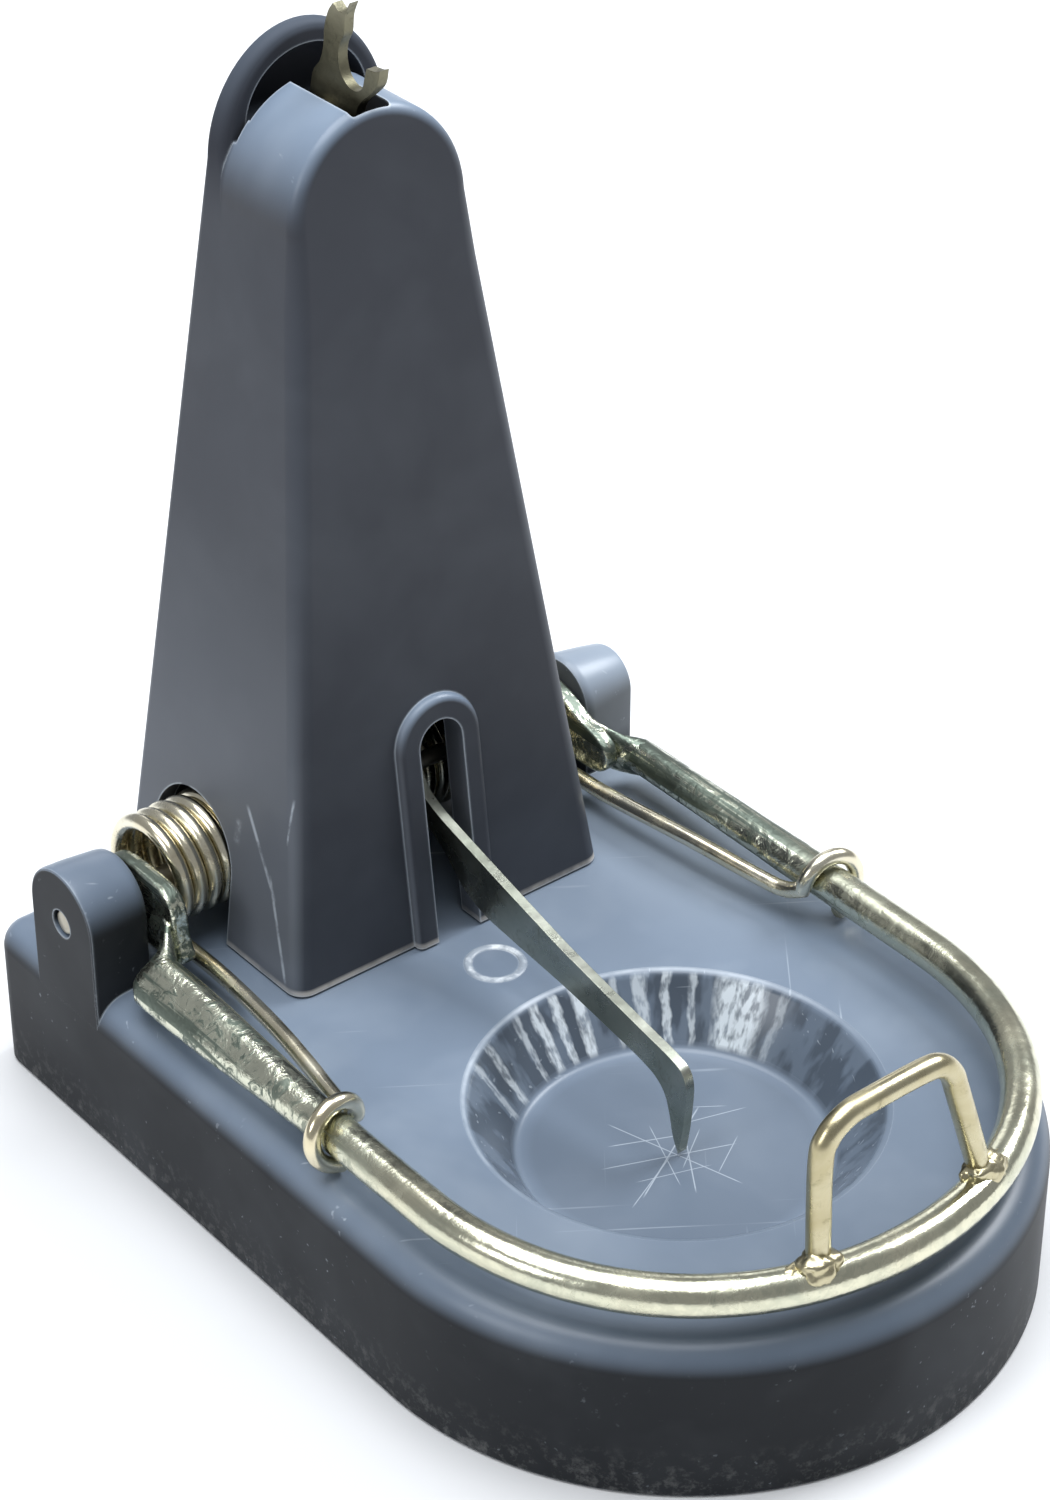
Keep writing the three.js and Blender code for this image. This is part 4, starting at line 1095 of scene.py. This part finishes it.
def pin(name, place, r, half_length, n, edge):
    return cylinder(name, "X", (0, *place), r, -half_length, half_length, n, edge)


def make_screw(name, x, y):
    """A screw from below: head with a cross recess, and ridges up the shank."""
    seat = DECK - WALL - 0.3
    head = [(0, -2), (1.9, -1.98), (2.6, -1.7), (2.95, -1.1), (3.0, 0), (1.25, 0)]
    profile = [(r, seat + h) for r, h in head]
    z = seat
    while z < 28.6:
        profile += [(1.25, z + 0.2), (0.95, z + 0.45)]
        z += 0.6
    profile += [(0.9, 28.9), (0, 29)]
    cross = [prism("cross", rectangle(x - dx, x + dx, y - dy, y + dy), along_z, seat - 3, seat - 1.1)
             for dx, dy in ((1.7, 0.38), (0.38, 1.7))]
    return combine(lathe(name, profile, (x, y, 0), n=36), cross)


# ---- build ----------------------------------------------------------------------------------

done(make_base(), "base", BASE_MAT, ["base_tray"], 30)
done(make_tower(), "base", TOWER_MAT, ["tower_housing"], 30)
done(make_jaw(), "jaw", ROD_MAT, ["jaw_bow"], 40)
done(make_bail(), "jaw", BAIL_MAT, ["setting_bail"], 50)
for weld in WELDS:
    done(lump(*weld), "jaw", BAIL_MAT, [], 80)
for side, word in ((-1, "left"), (1, "right")):
    stands_for = [f"{word}_spring_coil", f"{word}_spring_arm"]
    spring = done(make_spring(word, side), None, WIRE_MAT, stands_for, 50)
    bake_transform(spring)
done(make_fork(), "latch", STEEL_MAT, ["latch_fork"], 40)
done(make_trigger(), "trigger", TRIGGER_MAT, ["trigger_lever"], 40)
done(return_spring(), "base", WIRE_MAT, ["latch_spring"], 60)
done(pin("axle_rod", (AXLE_Y, AXLE_Z), 1.5, 39.7, 48, 0.35), "base", PIN_MAT, ["axle"], 40)
done(pin("latch_pin_rod", LATCH, 0.9, 5, 28, 0.2), "base", PIN_MAT, ["latch_pin"], 40)
done(pin("trigger_pin_rod", TRIGGER, 1.0, 5.8, 28, 0.2), "base", PIN_MAT, ["trigger_pin"], 40)
for i, (x, y) in enumerate(SCREWS, start=1):
    screw = make_screw(f"tower_screw_body_{i}", x, y)
    done(screw, "base", PIN_MAT, [f"tower_screw_{i}"], 35)

# ---- stage ----------------------------------------------------------------------------------

FLOOR_HALF = 3.0        # metres
floor_mesh = bpy.data.meshes.new("floor")
floor_corners = [(x, y, 0) for x, y in rectangle(-FLOOR_HALF, FLOOR_HALF, -FLOOR_HALF, FLOOR_HALF)]
floor_mesh.from_pydata(floor_corners, [], [(0, 1, 2, 3)])
floor = linked("floor", floor_mesh)
floor_skin = Nodes("floor_skin")
floor_skin.set(color=(0.74, 0.74, 0.74), rough=0.8, specular=0.1)
floor.data.materials.append(floor_skin.mat)

world = bpy.data.worlds.new("world")
bpy.context.scene.world = world
world.use_nodes = True
background = world.node_tree.nodes["Background"]
background.inputs["Color"].default_value = (0.92, 0.95, 1.0, 1)
background.inputs["Strength"].default_value = 0.34


def area(name, at, to, size, power, color=(0.93, 0.96, 1.0)):
    """A square area light; places and size are in metres."""
    data = bpy.data.lights.new(name, "AREA")
    data.energy = power
    data.size = size
    data.color = color
    aim(linked(name, data), at, to)


area("key", (-0.05, 0.10, 1.0), (0, 0, 0.03), 0.85, 13.0)
area("right", (0.75, -0.05, 0.80), (0.02, 0, 0.02), 0.45, 9.0)
area("left", (-0.85, 0.05, 0.50), (0, 0, 0.05), 0.30, 2.2)
area("rim", (0.55, 0.85, 0.45), (0, 0, 0.03), 0.35, 0.5, (0.95, 0.97, 1.0))

camera_data = bpy.data.cameras.new("camera")
camera_data.lens = 91.98
camera_data.sensor_width = 36
camera_data.clip_start = 0.01
camera_data.clip_end = 20
camera = linked("camera", camera_data)
aim(camera, (-0.21600, -0.25814, 0.28315), (0.01113, 0.02288, 0.03949))
bpy.context.scene.camera = camera
bpy.context.scene.view_settings.view_transform = "Standard"
